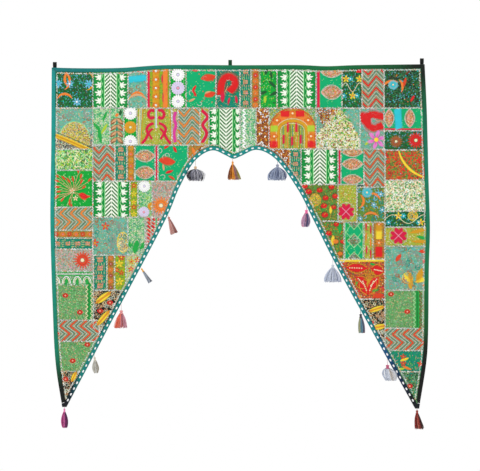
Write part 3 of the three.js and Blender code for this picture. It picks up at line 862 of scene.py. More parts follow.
def scrolls(colour, count, radius, width=2.0):
    """Curling lines of fine stitching over a patch."""
    for _ in range(count):
        x, z = area.at(0.04 + 0.92 * rng.random(), 0.04 + 0.92 * rng.random())
        turn = rng.random() * TAU + np.linspace(0, 4.6, 14) * rng.choice([-1, 1])
        grow = radius * (0.25 + 0.9 * np.linspace(0, 1, 14))
        line(colour, arc(x, z, grow, grow, turn), width, 4.4)


def spray(rows):
    """Separate leaves: rows of share across and down, length, width, degrees and colour."""
    for u, v, length, width, degrees, colour in rows:
        petal(colour, *area.at(u, v), math.radians(degrees), length, width)


def flowers(rows):
    """Rows of share across and down, radius, petals, colour and centre."""
    for u, v, radius, petals, colour, centre in rows:
        flower(colour, *area.at(u, v), radius, petals, centre)


def crescents(rows, width=9):
    """Rows of share across and down, radius, start and end in degrees, and colour."""
    for u, v, radius, start, end, colour in rows:
        turn = np.radians(np.linspace(start, end, 14))
        satin(colour, arc(*area.at(u, v), radius, radius, turn), width, profile=petal_profile)


def dots(colour, count, radius=1.8):
    u, v = rng.random(count), rng.random(count)
    discs(colour, area.x0 + area.w * u, area.top - area.h * v, radius, lift=0.3)


def net(leaves):
    """Black ground strewn with cream loops, and yellow leaves across it."""
    for _ in range(int(area.w * area.h / 150)):
        x, z = area.at(rng.random(), rng.random())
        ring(("cream", "silver", "beige")[int(rng.random() * 3)], x, z, 3 + 1.5 * rng.random(),
             width=1.4, pitch=3.4, lift=0.3)
    for u0, v0, u1, v1, width in leaves:
        start, end = points = area.line((u0, v0), (u1, v1))
        way = (end - start) / np.hypot(*(end - start))
        satin("moss", points, width * 1.25, profile=lens_profile, lift=0.6, slant=0)
        satin("gold", points, width, profile=lens_profile, lift=1.0, slant=0)
        line("orange", points, 2, 4, lift=1.7)
        for side in (-1, 1):
            shift = side * 0.24 * width * np.array([-way[1], way[0]])
            ends = np.array([start * 0.92 + end * 0.08, start * 0.1 + end * 0.9])
            satin("yellow", ends + shift, width * 0.34, profile=lens_profile, lift=1.5)


def band(colour, points, width, edge=None, lift=0.5):
    """A broad curved form of satin stitch, with an optional outline down both sides."""
    smooth = smooth_line(points, 40)
    satin(colour, smooth, width, height=1.3, lift=lift)
    if edge:
        for side in (-1, 1):
            line(edge, smooth + side * normals_of(smooth) * width * 0.55, 1.4, 4)


def hook(colour, shares, width, edge="silver"):
    band(colour, area.line(*shares), width, edge)


def rick_rack(x, top, bottom, width, edges=("cream", "cream")):
    """A green zigzag braid with pale loops down both sides."""
    zs = np.arange(bottom, top, 1.6)
    xs = x + 3.8 * (2 / math.pi) * np.arcsin(np.sin(zs * TAU / BRAID_PITCH))
    satin("green", np.stack([xs, zs], 1), width * 0.8, slant=0, height=1.3, pitch=1.6, lift=0.8)
    line("dark_green", [(x - 1, bottom), (x - 1, top)], 1.6, 4, lift=2.0)
    for side, colour in zip((-1, 1), edges):
        line(colour, np.stack([xs + side * width * 0.46, zs], 1), 2.4, 4, lift=1.0)


def arch_picture():
    """A doorway: an outer band of blocks and mirrors, an inner arch and hanging strokes."""
    a = area
    turn = np.linspace(math.pi, 0, 19)

    def arch(reach, top_v):
        curve = [(0.5 + reach * math.cos(t), 0.55 - (0.55 - top_v) * math.sin(t)) for t in turn]
        return a.line((0.5 - reach, 0.98), *curve, (0.5 + reach, 0.98))

    def outside(x, z):
        u, v = a.shares(x, z)
        return (v < 0.55) & (((u - 0.5) / 0.49) ** 2 + ((0.55 - v) / 0.55) ** 2 > 1.06)

    speckle(("grey", "teal", "silver", "green"), 0.14, 5, 2.6, inside=outside, height=1.2)
    satin("orange", arch(0.39, 0.15), 28, slant=0)
    for reach, top_v, colour, wide in ((0.485, 0.01, "orange_red", 3), (0.3, 0.31, "gold", 11),
                                       (0.345, 0.26, "cream", 1.8), (0.25, 0.37, "cream", 1.8),
                                       (0.455, 0.04, "gold", 2)):
        satin(colour, arch(reach, top_v), wide, lift=0.9)
    for u, v, w, h, colour in (
            (0.1, 0.88, 24, 24, "red"), (0.11, 0.5, 22, 23, "lime"), (0.34, 0.14, 25, 22, "red"),
            (0.66, 0.14, 25, 22, "red"), (0.89, 0.5, 22, 23, "lime"), (0.9, 0.88, 24, 24, "red")):
        x, z = a.at(u, v)
        satin(colour, [(x - w / 2, z), (x + w / 2, z)], h, slant=0, lift=1.3)
    for u, v in ((0.11, 0.69), (0.17, 0.3), (0.5, 0.13), (0.83, 0.3), (0.89, 0.69)):
        x, z = a.at(u, v)
        oval("orange_red", x, z, 11, 10, 1.0, 1.3)
        ring("gold", x, z, 8, width=2, lift=2.1)
        oval("orange", x, z, 6, 6, 1.0, 2.0)
        discs("thread_cream", x, z, 3, lift=2.9)
    for k, u in enumerate(np.linspace(0.3, 0.7, 9)):
        line(("teal", "gold", "orange", "moss")[k % 4], a.line((u, 0.42), (u, 0.97)), 2.4, 5)
    for u, v, tall in ((0.4, 0.46, 30), (0.58, 0.46, 30), (0.31, 0.76, 26), (0.49, 0.8, 26),
                       (0.67, 0.76, 26)):
        x, z = a.at(u, v)
        satin("crimson", [(x, z + tall / 2), (x, z - tall / 2)], 8, lift=0.9)
        line("copper", [(x + 6, z + tall / 2), (x + 6, z - tall / 2)], 1.8, 4)


def lotus():
    """Broad red petals with rows of pearls, under a yellow strip."""
    a = area
    satin("yellow", a.line((0.02, 0.04), (0.98, 0.03)), 9)
    speckle(("red", "orange_red", "gold", "moss", "crimson", "copper", "brown"), 0.12, 8, 3.2)
    for u, v, degrees, long, wide, colour in (
            (0.62, 0.23, 178, 62, 30, "red"), (0.7, 0.24, -12, 40, 34, "red"),
            (0.62, 0.72, 134, 46, 36, "red"), (0.64, 0.74, 48, 46, 34, "red"),
            (0.64, 0.88, 112, 50, 34, "red"), (0.64, 0.88, 68, 50, 34, "red"),
            (0.76, 0.94, 14, 28, 20, "orange_red"), (0.5, 0.98, 150, 24, 12, "orange"),
            (0.68, 0.12, -8, 16, 9, "green"), (0.7, 0.8, 10, 24, 9, "green"),
            (0.46, 0.5, 236, 22, 10, "green")):
        x, z = a.at(u, v)
        angle = math.radians(degrees)
        petal(colour, x, z, angle, long, wide, 1.3, 0.8)
        if colour != "red":
            continue
        share = np.linspace(0.04, 0.96, 9)
        for side in (-1, 1):
            across = side * wide * 0.5 * petal_profile(share)
            line("gold", np.stack(turned(x, z, long * share, across, angle), 1), 2, 4, lift=1.4)
        for spot in share[2:-1]:
            discs("thread_cream", *toward(x, z, angle, long * spot), 1.9, lift=2.1)
    x, z = a.at(0.66, 0.62)
    for angle in np.radians((60, 75, 90, 105, 120)):
        line("gold", [(x, z), (x + 30 * math.cos(angle), z + 46 * math.sin(angle))], 1.8, 4,
             lift=1.2)
    dots("thread_gold", 50, 2.0)
    dots("thread_cream", 30, 1.8)


def hill_patch():
    """A pale hill of thick stitches under a few leaves, and a corner of sequins."""
    def in_hill(x, z):
        u, v = area.shares(x, z)
        return (v > 0.04 + 2.1 * np.abs(u - 0.5) ** 1.5) | ((v > 0.62) & (u < 0.9))

    def in_corner(x, z):
        u, v = area.shares(x, z)
        return v < np.minimum(0.05 + 2.6 * u, 0.62 - 1.45 * (u - 0.12))

    speckle(("cream", "cream", "beige", "white", "green", "brown", "lime"), 0.16, 11, 3.8,
            inside=in_hill, height=1.2)
    spray([(0.62, 0.1, 20, 9, 60, "green"), (0.66, 0.24, 22, 8, -30, "green"),
           (0.56, 0.2, 18, 8, 120, "lime")])
    speckle(("brown", "copper", "orange", "black"), 0.16, 5, 2.4, inside=in_corner, height=1.3)
    sequins(in_corner)


def dome_patch():
    """Grey scrolls on teal, a straw-coloured dome and a golden band below it."""
    scrolls("grey", 24, 8, 2.6)
    scrolls("copper", 12, 6, 2.2)
    scrolls("silver", 10, 7, 2.2)
    x, z = area.at(0.54, 0.78)

    def below(px, pz):
        u, v = area.shares(px, pz)
        return v > 0.62 + 0.4 * u

    def dome(px, pz):
        return (((px - x) / 46) ** 2 + ((pz - z) / 54) ** 2 < 1) & ~below(px, pz)

    speckle(("cream", "yellow", "beige", "lime", "gold", "moss"), 0.24, 6.5, 2.6, inside=dome,
            height=1.6)
    line("mint", arc(x, z, 47, 55, np.linspace(0.1, math.pi - 0.1, 20)), 2.4, 4, lift=0.9)
    speckle(("black", "cream", "brown", "grey", "black"), 0.24, 6, 3, inside=below, height=1.2)
    speckle(("black", "grey", "copper", "black", "cream"), 0.2, 6, 2.8, height=1.2,
            box=Area(area.x1 - 30, area.x1, area.top - 78, area.bottom))
    band("gold", area.line((-0.02, 0.64), (0.4, 0.8), (1.02, 1.08)), 17, lift=0.9)
    for shift, end, colour, lift in ((-0.04, 1.02, "yellow", 1.9), (0.03, 1.09, "yellow", 1.9),
                                     (-0.09, 0.97, "moss", 1.2)):
        line(colour, area.line((0, 0.64 + shift), (0.4, 0.8 + shift), (1, end)), 2.4, 5, lift=lift)


def curl_pair():
    """Two crimson curls facing each other, with bowed legs below them."""
    axis = area.x0 + 0.55 * area.w
    for side in (-1, 1):
        for width, shape in ((11, [(6, 8), (15, 6), (23, 14), (22, 26), (13, 31), (7, 25)]),
                             (10, [(8, 45), (22, 51), (29, 64), (25, 75), (31, 91), (43, 106)]),
                             (8, [(11, 61), (22, 74), (13, 93)])):
            band("crimson", [(axis + side * x, area.top - down) for x, down in shape], width,
                 lift=0.9)
        for shift, colour in ((0.46, "cream"), (0.42, "silver"), (0.38, "gold")):
            line(colour, [(axis + side * shift * area.w, area.top),
                          (axis + side * (shift + 0.06) * area.w, area.bottom)], 2.4, 6)
    line("lilac", [(axis, area.top), (axis, area.top - 60)], 4, 4)
    line("mint", [(axis - 3, area.top), (axis - 3, area.top - 60)], 2.4, 4, lift=1.0)


def radiating_leaves():
    """Small red leaves on fine stalks that spread from a pale flower."""
    x, z = area.at(0.5, 0.58)
    for degrees, far, long in ((20, 30, 14), (48, 34, 18), (62, 50, 16), (86, 34, 18),
                               (104, 30, 20), (118, 46, 18), (140, 54, 16), (158, 42, 18),
                               (176, 36, 14), (196, 44, 20), (216, 34, 16), (248, 26, 22),
                               (262, 42, 12), (318, 30, 20), (338, 44, 12), (75, 66, 14),
                               (130, 66, 14), (36, 58, 14), (205, 62, 12)):
        angle = math.radians(degrees)
        px, pz = x + far * math.cos(angle), z + far * 0.86 * math.sin(angle)
        petal("orange_red", px, pz, angle + 0.35, long, 7)
        line("beige", [toward(x, z, angle, 5), (px, pz)], 1.6, 4)
        line("cream", [(px + 4, pz + 4), toward(px, pz, angle, long)], 1.2, 4, lift=0.2)
    petal("red", x + 18, z - 8, -0.3, 30, 19, 1.2)
    flower("cream", x - 2, z + 2, 9, 5, "orange")
    flower("cream", x + 8, z - 20, 8, 5, "orange")


def vine(yellow, blue):
    """A cream stem that winds across, with flowers above and below it."""
    t = np.linspace(0, 1, 30)
    swing = min(0.28 * area.h, 13)
    line("cream", np.stack([area.x0 + area.w * t,
                            area.top - area.h * 0.5 + swing * np.sin(t * 9)], 1), 1.8, 4)
    for i in range(yellow):
        flower("yellow", *area.at((i + 0.6) / yellow, 0.3 + 0.4 * (i % 2)), 11, 5, "orange")
    for i in range(blue):
        flower("turquoise", *area.at((i + 0.25) / blue, 0.7 - 0.4 * (i % 2)), 8, 6, "white")
    dots("thread_lime", 14)


def rosette_column(rows):
    """Rosettes with a ring: rows of share across and down, radius and colour."""
    for u, v, radius, colour in rows:
        x, z = area.at(u, v)
        rosette(colour, x, z, radius, {"white": "lilac", "lilac": "pink"}.get(colour, "cream"))
        shadow = {"white": "lilac", "lilac": "grey"}.get(colour, "brown")
        ring(shadow, x, z, radius * 0.5, width=1.4, pitch=5, lift=1.1)


def mirror_column(x, pitch):
    """Mirrors in red rings, each on a flower."""
    for z in np.arange(area.top - 14, area.bottom, -pitch):
        flower("orange_red", x, z, 10, 6, "cream")
        ring("red", x, z, 9, width=2.2)
        discs("mirror", x, z, 3.4, lift=1.6)


def strokes(colour, rows):
    for u, v in rows:
        x, z = area.at(u, v)
        satin(colour, [(x, z + 14), (x, z - 14)], 6, profile=petal_profile)


def cone_rows():
    """Drooping pairs of pale lobes with dark edges, one above another."""
    x = area.x0 + area.w * 0.5
    for row in range(4):
        z = area.top - 34 - row * 19
        for side in (-1, 1):
            way = -math.pi / 2 + side * 0.75
            petal("copper", x + side, z + 3, way, 25, 15)
            petal("beige", x + side, z + 2, way, 22, 10, lift=1.2)
            petal("brown", x + side * 6, z - 8, way + side * 0.3, 14, 3, lift=1.7)
        petal("teal", x, z - 2, -math.pi / 2, 15, 5, lift=1.6)
    petal("orange", x, area.top - 26, math.pi / 2, 10, 14)


def leaf_column(u, colour, step=15):
    for k in range(int(area.h / step)):
        x, z = area.at(u, (k + 0.5) * step / area.h)
        for turn in (0.6, -0.6):
            petal(colour, x, z, turn, 12, 6, 0.4)


def leaf_rows(colours):
    """Pairs of leaves up a green stem, dark at their edges."""
    speckle(("cream", "silver", "pink"), 0.12, 6, 2.6)
    for i in range(8):
        for side in (-1, 1):
            for far in (0.06, 0.3):
                x, z = area.at(0.62 + side * far, (i + 0.9) / 8)
                petal(colours[(i + (side > 0)) % 2], x, z, math.pi / 2 - side * 0.8, 15, 7)
                line("brown", [(x + side * 3, z - 1), (x + side * 13, z + 8)], 1.4, 4, lift=0.9)
    line("green", area.line((0.62, 0), (0.62, 1)), 3.4, 5, lift=0.8)


def knotted_spot(u, v, rx, rz, main="cream", edge="yellow"):
    """A round spot of pale knots with an outline."""
    x, z = area.at(u, v)
    speckle((main, main, edge, "gold", "beige", "green"), 0.26, 5, 2.6,
            inside=lambda px, pz: ((px - x) / rx) ** 2 + ((pz - z) / rz) ** 2 < 1.1)
    ring(edge, x, z, rx, rz)


def berries(rows, colour="red"):
    """Round fruit with a dark edge and a light spot: rows of share across, down and radius."""
    for u, v, radius in rows:
        x, z = area.at(u, v)
        oval(colour, x, z, radius, radius * 0.95, 1.3, 0.8)
        ring("brown", x, z, radius * 1.08, width=1.2, lift=0.8)
        petal("gold", x - radius * 0.3, z, 0.8, radius * 0.9, 2.4, 1.0, 2.0)


def cross_flower(u, v, radius):
    """Four pairs of crimson petals round a pale cross."""
    x, z = area.at(u, v)
    for i in range(8):
        angle = TAU * (i + 0.5) / 8
        petal("crimson", *toward(x, z, angle, 3), angle, radius, 17, 1.2)
    ring("silver", x, z, radius * 1.15, width=1.4)
    for i in range(4):
        line("pink", [(x, z), toward(x, z, TAU * (i + 0.5) / 4, 17)], 2.2, 4, lift=1.8)


def medallion():
    """Grey knotted medallions linked by pale net lines."""
    for u, v, radius in ((0.5, 0.5, 15), (0.5, 0.03, 13), (0.5, 0.97, 13)):
        x, z = area.at(u, v)
        speckle(("grey", "copper", "silver", "moss"), 0.3, 5, 2, height=1.2,
                inside=lambda px, pz: np.abs(px - x) + np.abs(pz - z) < radius * 1.3)
        reach = radius * 1.4
        line("mint", [(x - reach, z), (x, z + reach), (x + reach, z), (x, z - reach),
                      (x - reach, z)], 2.2, 4)
    for u0, v0, u1, v1 in ((0, 0.2, 0.3, 0.4), (0, 0.8, 0.3, 0.6), (1, 0.2, 0.7, 0.4),
                           (1, 0.8, 0.7, 0.6), (0.3, 0.1, 0, 0.35), (0.7, 0.1, 1, 0.35),
                           (0.3, 0.9, 0, 0.65), (0.7, 0.9, 1, 0.65), (0.06, 0, 0.06, 1),
                           (0.94, 0, 0.94, 1)):
        line("mint", area.line((u0, v0), (u1, v1)), 1.8, 4)
    for u, v in ((0.16, 0.14), (0.84, 0.14), (0.14, 0.5), (0.86, 0.5), (0.16, 0.86), (0.84, 0.86)):
        petal("green", *area.at(u, v), 1.2, 13, 7)


def scallops():
    """A row of small arches with green buds in them, under a striped edge."""
    a = area
    speckle(("silver", "grey", "white", "green"), 0.14, 5, 2.2,
            box=Area(a.x0, a.x1, a.top, a.top - 44))
    for v, colour in ((0.02, "green"), (0.06, "silver"), (0.09, "green")):
        line(colour, a.line((0, v), (0.98, v)), 3, 4, lift=0.8)
    for x in (-547, -515, -482, -453):
        z = a.top - 36
        for radius, colour in ((15, "green"), (12.5, "white"), (9, "cream")):
            line(colour, arc(x, z, radius, 1.6 * radius, np.linspace(0, math.pi, 12)), 2.2, 4,
                 lift=0.9)
        petal("green", x, z - 6, math.pi / 2, 22, 11, 1.2, 1.0)


# Each patch: left, right, top, bottom and fabric, then its motifs with their details
PATCHES = [
    # Top band, left to right
    (-556, -435, -4, -129, "dark_green",
     (crescents, [(0.18, 0.35, 30, -60, 60, "orange"), (0.55, 0.3, 30, 120, 240, "orange"),
                  (0.8, 0.35, 28, -80, 80, "gold"), (0.3, 0.85, 24, 20, 160, "orange")]),
     (flowers, [(0.14, 0.42, 13, 7, "sky", "turquoise"), (0.42, 0.42, 12, 7, "sky", "white"),
                (0.9, 0.42, 14, 7, "sky", "turquoise"), (0.6, 0.85, 13, 7, "sky", "white")]),
     (dots, "thread_turquoise", 26)),
    (-435, -330, -4, -129, "leaf_green", (leaf_print,)),
    (-330, -273, -4, -129, "grey_teal",
     (satin, "turquoise", [(-330, -44), (-273, -38)], 24),
     (crescents, [(0.5, 0.95, 34, 20, 160, "beige"), (0.5, 0.8, 22, 20, 160, "orange")], 8),
     (scrolls, "copper", 6, 8), (line, "red", [(-322, -16), (-284, -22)], 3)),
    (-273, -204, -4, -129, "yellow_green",
     (stripe, "crimson", -268, 9),
     (stripe, "gold", -246, 24, 0),
     (stripe, "orange", -218, 18),
     (mirror_column, -246, 25.6), (strokes, "crimson", [(0.66, 0.3), (0.85, 0.5), (0.7, 0.75)])),
    (-204, -156, -4, -129, "bright_green",
     (rosette_column, [(0.5, 0.2, 21, "white"), (0.5, 0.52, 21, "lilac"),
                       (0.5, 0.84, 20, "white")])),
    (-156, -66, -4, -129, "emerald",
     (spray, [(0.5, 0.3, 46, 26, 10, "orange_red"), (0.2, 0.62, 24, 9, 60, "red"),
              (0.35, 0.72, 22, 8, 120, "red"), (0.62, 0.72, 34, 22, 20, "orange_red"),
              (0.2, 0.1, 20, 7, 0, "red"), (0.82, 0.6, 18, 8, 200, "beige"),
              (0.1, 0.85, 20, 8, 30, "beige")]),
     (scrolls, "silver", 5, 8), (dots, "thread_crimson", 12)),
    (-66, 6, -4, -129, "teal",
     (satin, "crimson", [(-47, -78), (-46, -112)], 16, 2.1, 0.3, 1.0, 0.7, petal_profile),
     (band, "red", [(-52, -88), (-50, -58), (-42, -39), (-28, -34), (-14, -39), (-8, -54),
                    (-13, -68), (-27, -80)], 26, "brown"),
     (line, "beige", [(-31, -63), (-39, -82)], 2.6, 4, 0.6, 2.2),
     (spray, [(0.82, 0.7, 24, 10, -80, "crimson"), (0.56, 0.74, 22, 8, -100, "crimson")]),
     (scrolls, "silver", 4, 7)),
    (6, 39, -4, -129, "teal", (squares,)),
    (39, 66, -4, -129, "ochre", (beads,)),
    (66, 117, -4, -129, "bright_green",
     (spray, [(0.3, 0.2, 26, 11, 70, "dark_green"), (0.5, 0.35, 28, 11, -40, "dark_green"),
              (0.7, 0.3, 24, 10, 100, "dark_green"), (0.4, 0.6, 28, 12, 200, "dark_green"),
              (0.6, 0.7, 28, 12, 30, "dark_green"), (0.3, 0.88, 22, 10, 90, "lime")]),
     (speckle, ("dark_green", "lime"), 0.02)),
    (117, 234, -4, -129, "leaf_green", (leaf_print,)),
    (234, 312, -4, -129, "emerald",
     (stripe, "crimson", 241, 10),
     (ovals, [(0.6, 0.14, 32, 16), (0.6, 0.62, 32, 22)])),
    (312, 372, -4, -129, "dark_green", (vine, 3, 3),
     (spray, [(0.7, 0.14, 30, 15, 20, "red")])),
    (372, 438, -4, -129, "grey", (zigzags, "red", "z", 34, 5.4)),
    (438, 566, -4, -129, "dark_green",
     (crescents, [(0.2, 0.62, 34, 60, 170, "orange"), (0.2, 0.5, 30, -30, 50, "orange")]),
     (rosette_column, [(0.21, 0.44, 15, "turquoise")]),
     (speckle, ("black", "black", "moss"), 0.05, 8, 3.4),
     (spray, [(0.45, 0.5, 30, 11, 75, "orange_red"), (0.85, 0.35, 28, 12, -80, "brown"),
              (0.62, 0.85, 22, 9, 60, "red"), (0.5, 0.2, 18, 7, 40, "brown")]),
     (dots, "thread_turquoise", 30), (dots, "thread_orange", 10)),
    # Second band
    (-556, -435, -129, -252, "grey_teal", (dome_patch,)),
    (-435, -384, -129, -240, "pale_green",
     (spray, [(0.5, 0.95, 54, 14, 100, "green"), (0.5, 0.7, 36, 10, 60, "lime"),
              (0.4, 0.6, 34, 10, 130, "green"), (0.6, 0.35, 30, 9, 70, "green")]),
     (speckle, ("green", "cream"), 0.05)),
    (-384, -342, -129, -240, "pale_green",
     (cone_rows,), (spray, [(0.75, 0.2, 17, 11, 90, "dark_green")])),
    (-342, -303, -129, -240, "bright_green",
     (rosette_column, [(0.5, 0.14, 20, "white"), (0.5, 0.52, 19, "gold"),
                       (0.5, 0.9, 20, "white")])),
    (-303, -198, -129, -240, "lime", (curl_pair,)),
    (-198, -180, -129, -240, "lime",
     (hook, "magenta", [(0.6, 0.1), (0.35, 0.28), (0.65, 0.46), (0.35, 0.66),
                        (0.55, 0.92)], 10, "pink")),
    (-180, -114, -129, -240, "grey", (zigzags, "orange")),
    (-114, -87, -129, -240, "lime",
     (hook, "crimson", [(0.2, 0.06), (0.85, 0.24), (0.3, 0.45), (0.75, 0.68),
                        (0.25, 0.94)], 11)),
    (-87, 6, -129, -290, "leaf_green", (leaf_print, 0.34, 0.76, -1)),
    (6, 54, -129, -290, "pale_green",
     (speckle, ("green", "white", "grey"), 0.1), (leaf_column, 0.15, "white")),
    (54, 93, -129, -300, "brown", (sequins,)),
    (93, 234, -129, -252, "lime", (arch_picture,)),
    (234, 366, -129, -252, "grey_teal", (hill_patch,)),
    (366, 438, -129, -252, "grey_teal",
     (scrolls, "grey", 14, 7, 2.4),
     (satin, "red", [(366, -156), (398, -164)], 42, 2.1, 0.3, 1.3, 0.5, soft_profile),
     (band, "red", [(436, -155), (421, -152), (404, -147), (390, -154), (386, -169),
                    (394, -184), (409, -190), (423, -184), (436, -180)], 26, "pink"),
     (line, "beige", [(414, -168), (426, -166), (436, -172)], 2.2, 4, 0.6, 2.2),
     (flowers, [(0.68, 0.77, 29, 6, "orchid", "yellow"),
                (0.68, 0.77, 18, 6, "magenta", "yellow")]),
     (spray, [(0.2, 0.9, 18, 8, 40, "lime")])),
    (438, 566, -129, -197, "emerald",
     (satin, "turquoise", [(478, -129), (482, -192)], 26),
     (ovals, [(0.12, 0.45, 14, 28), (0.6, 0.45, 15, 28)]),
     (satin, "crimson", [(438, -192), (566, -193)], 6)),
    (438, 566, -197, -255, "dark_green",
     (rosette_column, [(0.28, 0.55, 20, "copper"), (0.74, 0.5, 25, "red")]),
     (dots, "thread_lilac", 10)),
    # Third band, left
    (-556, -435, -252, -315, "sage",
     (speckle, ("cream", "mint", "lime", "green", "moss"), 0.1, 12, 4.2)),
    (-435, -369, -240, -348, "grey", (zigzags, "orange_red")),
    (-369, -333, -240, -348, "teal", (squares,)),
    (-333, -309, -240, -348, "ochre", (beads, "z", ("gold", "orange"))),
    (-309, -249, -240, -348, "emerald", (ovals, [(0.5, 0.3, 30, 18), (0.5, 0.76, 30, 19)])),
    (-249, -240, -240, -348, "pink_grey",
     (stripe, "crimson", -244.5, 6)),
    (-240, -150, -240, -348, "emerald",
     (spray, [(0.02, 0.42, 50, 30, -5, "orange_red"), (0.2, 0.1, 22, 9, 40, "red"),
              (0.62, 0.2, 20, 10, 120, "red"), (0.5, 0.7, 24, 10, 200, "red"),
              (0.35, 0.85, 22, 9, 330, "orange_red"), (0.2, 0.7, 20, 8, 100, "beige")]),
     (scrolls, "silver", 6, 8)),
    (-150, -87, -240, -300, "ochre", (spray, [(0.2, 0.1, 30, 11, 290, "orange"),
                                              (0.6, 0.1, 30, 10, 250, "brown")])),
    # Left leg
    (-556, -435, -315, -426, "bright_green", (radiating_leaves,)),
    (-435, -324, -348, -456, "leaf_green", (leaf_print,)),
    (-324, -300, -348, -456, "yellow_green",
     (flowers, [(0.5, 0.12, 8, 5, "red", "yellow"), (0.5, 0.35, 9, 5, "yellow", "lime"),
                (0.5, 0.58, 8, 5, "yellow", "orange"), (0.5, 0.72, 8, 5, "red", "yellow"),
                (0.5, 0.92, 9, 5, "yellow", "lime")])),
    (-300, -258, -348, -456, "pale_green",
     (speckle, ("green", "lime"), 0.06),
     (rosette_column, [(0.45, 0.14, 18, "white"), (0.42, 0.86, 17, "lilac"),
                       (0.95, 0.7, 12, "gold")])),
    (-258, -174, -348, -470, "pink_grey",
     (speckle, ("beige", "pink", "grey", "orange_red"), 0.07),
     (rosette_column, [(0.32, 0.6, 28, "orange")])),
    (-556, -435, -426, -495, "grey", (zigzags, "orange", "x")),
    (-435, -330, -456, -570, "grey_teal",
     (scrolls, "grey", 30, 7, 2.6), (scrolls, "copper", 8, 6, 2.2), (scrolls, "teal", 12, 8),
     (flowers, [(0.36, 0.24, 13, 5, "orange_red", "gold"),
                (0.06, 0.68, 13, 5, "orange_red", "gold")]),
     (knotted_spot, 0.86, 0.66, 17, 30)),
    (-330, -279, -456, -570, "pale_green",
     (speckle, ("green", "cream", "grey"), 0.08),
     (spray, [(0.4, 0.95, 40, 22, 80, "green"), (0.2, 0.8, 30, 14, 120, "green"),
              (0.7, 0.85, 30, 14, 50, "green")])),
    (-279, -225, -456, -550, "pink_grey",
     (leaf_rows, ("red", "orange_red"))),
    (-556, -435, -495, -519, "ochre", (beads, "x", ("orange_red", "orange"), 20)),
    (-556, -435, -519, -552, "teal", (squares, "x")),
    (-556, -435, -552, -618, "pink_grey",
     (speckle, ("beige", "grey", "pink", "orange_red", "green"), 0.07),
     (rosette_column, [(0.74, 0.5, 27, "orange_red")])),
    (-556, -433, -618, -765, "sage",
     (scallops,),
     (ringed_dots, [(-518, -691), (-474, -741)]),
     (rick_rack, -446, -652, -762, 15)),
    (-433, -393, -570, -675, "teal", (squares,)),
    (-393, -369, -570, -675, "ochre", (beads, "z", ("orange", "copper"))),
    (-369, -336, -570, -675, "yellow_green",
     (flowers, [(0.6, 0.06, 10, 5, "red", "yellow"), (0.4, 0.24, 12, 5, "yellow", "lime"),
                (0.2, 0.42, 8, 5, "red", "yellow"), (0.6, 0.5, 8, 5, "red", "gold"),
                (0.45, 0.75, 12, 5, "yellow", "lime")])),
    (-336, -280, -570, -675, "cream",
     (speckle, ("cream", "lime", "beige", "yellow"), 0.06),
     (flowers, [(0.3, 0.18, 9, 5, "gold", "red"), (0.62, 0.14, 9, 5, "red", "yellow"),
                (0.28, 0.4, 9, 5, "red", "yellow")])),
    (-433, -330, -675, -790, "black",
     (net, [(0.06, 0.34, 0.52, 0.04, 22), (0.1, 0.92, 0.48, 0.52, 19)]),
     (ringed_dots, [(-383, -712), (-413, -737)])),
    (-556, -415, -765, -828, "grey", (zigzags, "orange_red", "x", 31, 5.2)),
    (-556, -400, -828, -918, "sage",
     (ringed_dots, [(-451, -838), (-495, -886)])),
    (-556, -440, -918, -1010, "black",
     (net, [(0.5, 0.34, 0.62, 0.0, 15)]), (ringed_dots, [(-516, -941)])),
    # Third band, right
    (93, 156, -252, -330, "brown", (sequins,), (speckle, ("orange", "copper"), 0.06)),
    (156, 189, -252, -370, "teal", (squares,)),
    (189, 300, -252, -358, "leaf_green", (leaf_print,)),
    (300, 309, -252, -358, "pink_grey",
     (stripe, "crimson", 304.5, 6)),
    (309, 378, -252, -358, "emerald",
     (ovals, [(0.5, 0.08, 32, 14), (0.5, 0.42, 32, 17), (0.5, 0.86, 30, 15)])),
    (378, 441, -252, -366, "grey", (zigzags, "orange_red")),
    (441, 568, -255, -345, "olive",
     (speckle, ("red", "orange_red", "green", "brown"), 0.05, 8, 3.2),
     (speckle, ("red",), 0.02, 12, 4),
     (crescents, [(1.15, -0.25, 108, 185, 262, "yellow")], 9),
     (dots, "thread_turquoise", 8)),
    # Right leg
    (441, 573, -345, -438, "pale_green",
     (speckle, ("cream", "cream", "white", "moss", "green", "beige"), 0.11, 13, 4.2)),
    (189, 300, -358, -468, "olive",
     (berries, [(0.1, 0.05, 8), (0.2, 0.2, 9), (0.5, 0.16, 8), (0.82, 0.07, 8), (0.66, 0.37, 8),
                (0.92, 0.32, 8), (0.62, 0.59, 9), (0.88, 0.62, 7), (0.64, 0.83, 9)]),
     (knotted_spot, 0.38, 0.42, 16, 18, "yellow", "gold"),
     (spray, [(0.55, 0.7, 24, 12, 30, "green"), (0.8, 0.8, 22, 11, 90, "yellow")])),
    (300, 357, -358, -471, "lime",
     (speckle, ("gold", "lime", "green"), 0.05),
     (cross_flower, 0.42, 0.72, 23)),
    (357, 441, -366, -471, "olive",
     (rosette_column, [(0.36, 0.15, 16, "turquoise")]),
     (flowers, [(0.85, 0.2, 10, 6, "sky", "white"), (0.6, 0.5, 9, 6, "sky", "white"),
                (0.12, 0.9, 8, 6, "sky", "white"), (0.9, 0.65, 9, 6, "sky", "white")]),
     (crescents, [(0.5, 0.46, 30, 20, 100, "orange"), (0.5, 0.98, 26, 30, 150, "orange"),
                  (-0.02, 0.4, 22, -70, 60, "orange")]),
     (scrolls, "sky", 12, 6, 2.2), (scrolls, "teal", 16, 7, 2.6), (dots, "thread_sky", 16)),
    (441, 574, -438, -486, "dark_green", (vine, 2, 3),
     (knotted_spot, 0.62, 0.3, 14, 13, "gold", "yellow")),
    (234, 318, -468, -590, "olive",
     (berries, [(0.45, 0.3, 8), (0.72, 0.08, 7), (0.95, 0.5, 7)]),
     (berries, [(0.7, 0.5, 8), (0.86, 0.8, 7)], "orange"),
     (spray, [(0.6, 0.35, 30, 14, 270, "yellow"), (0.85, 0.3, 30, 14, 90, "green")]),
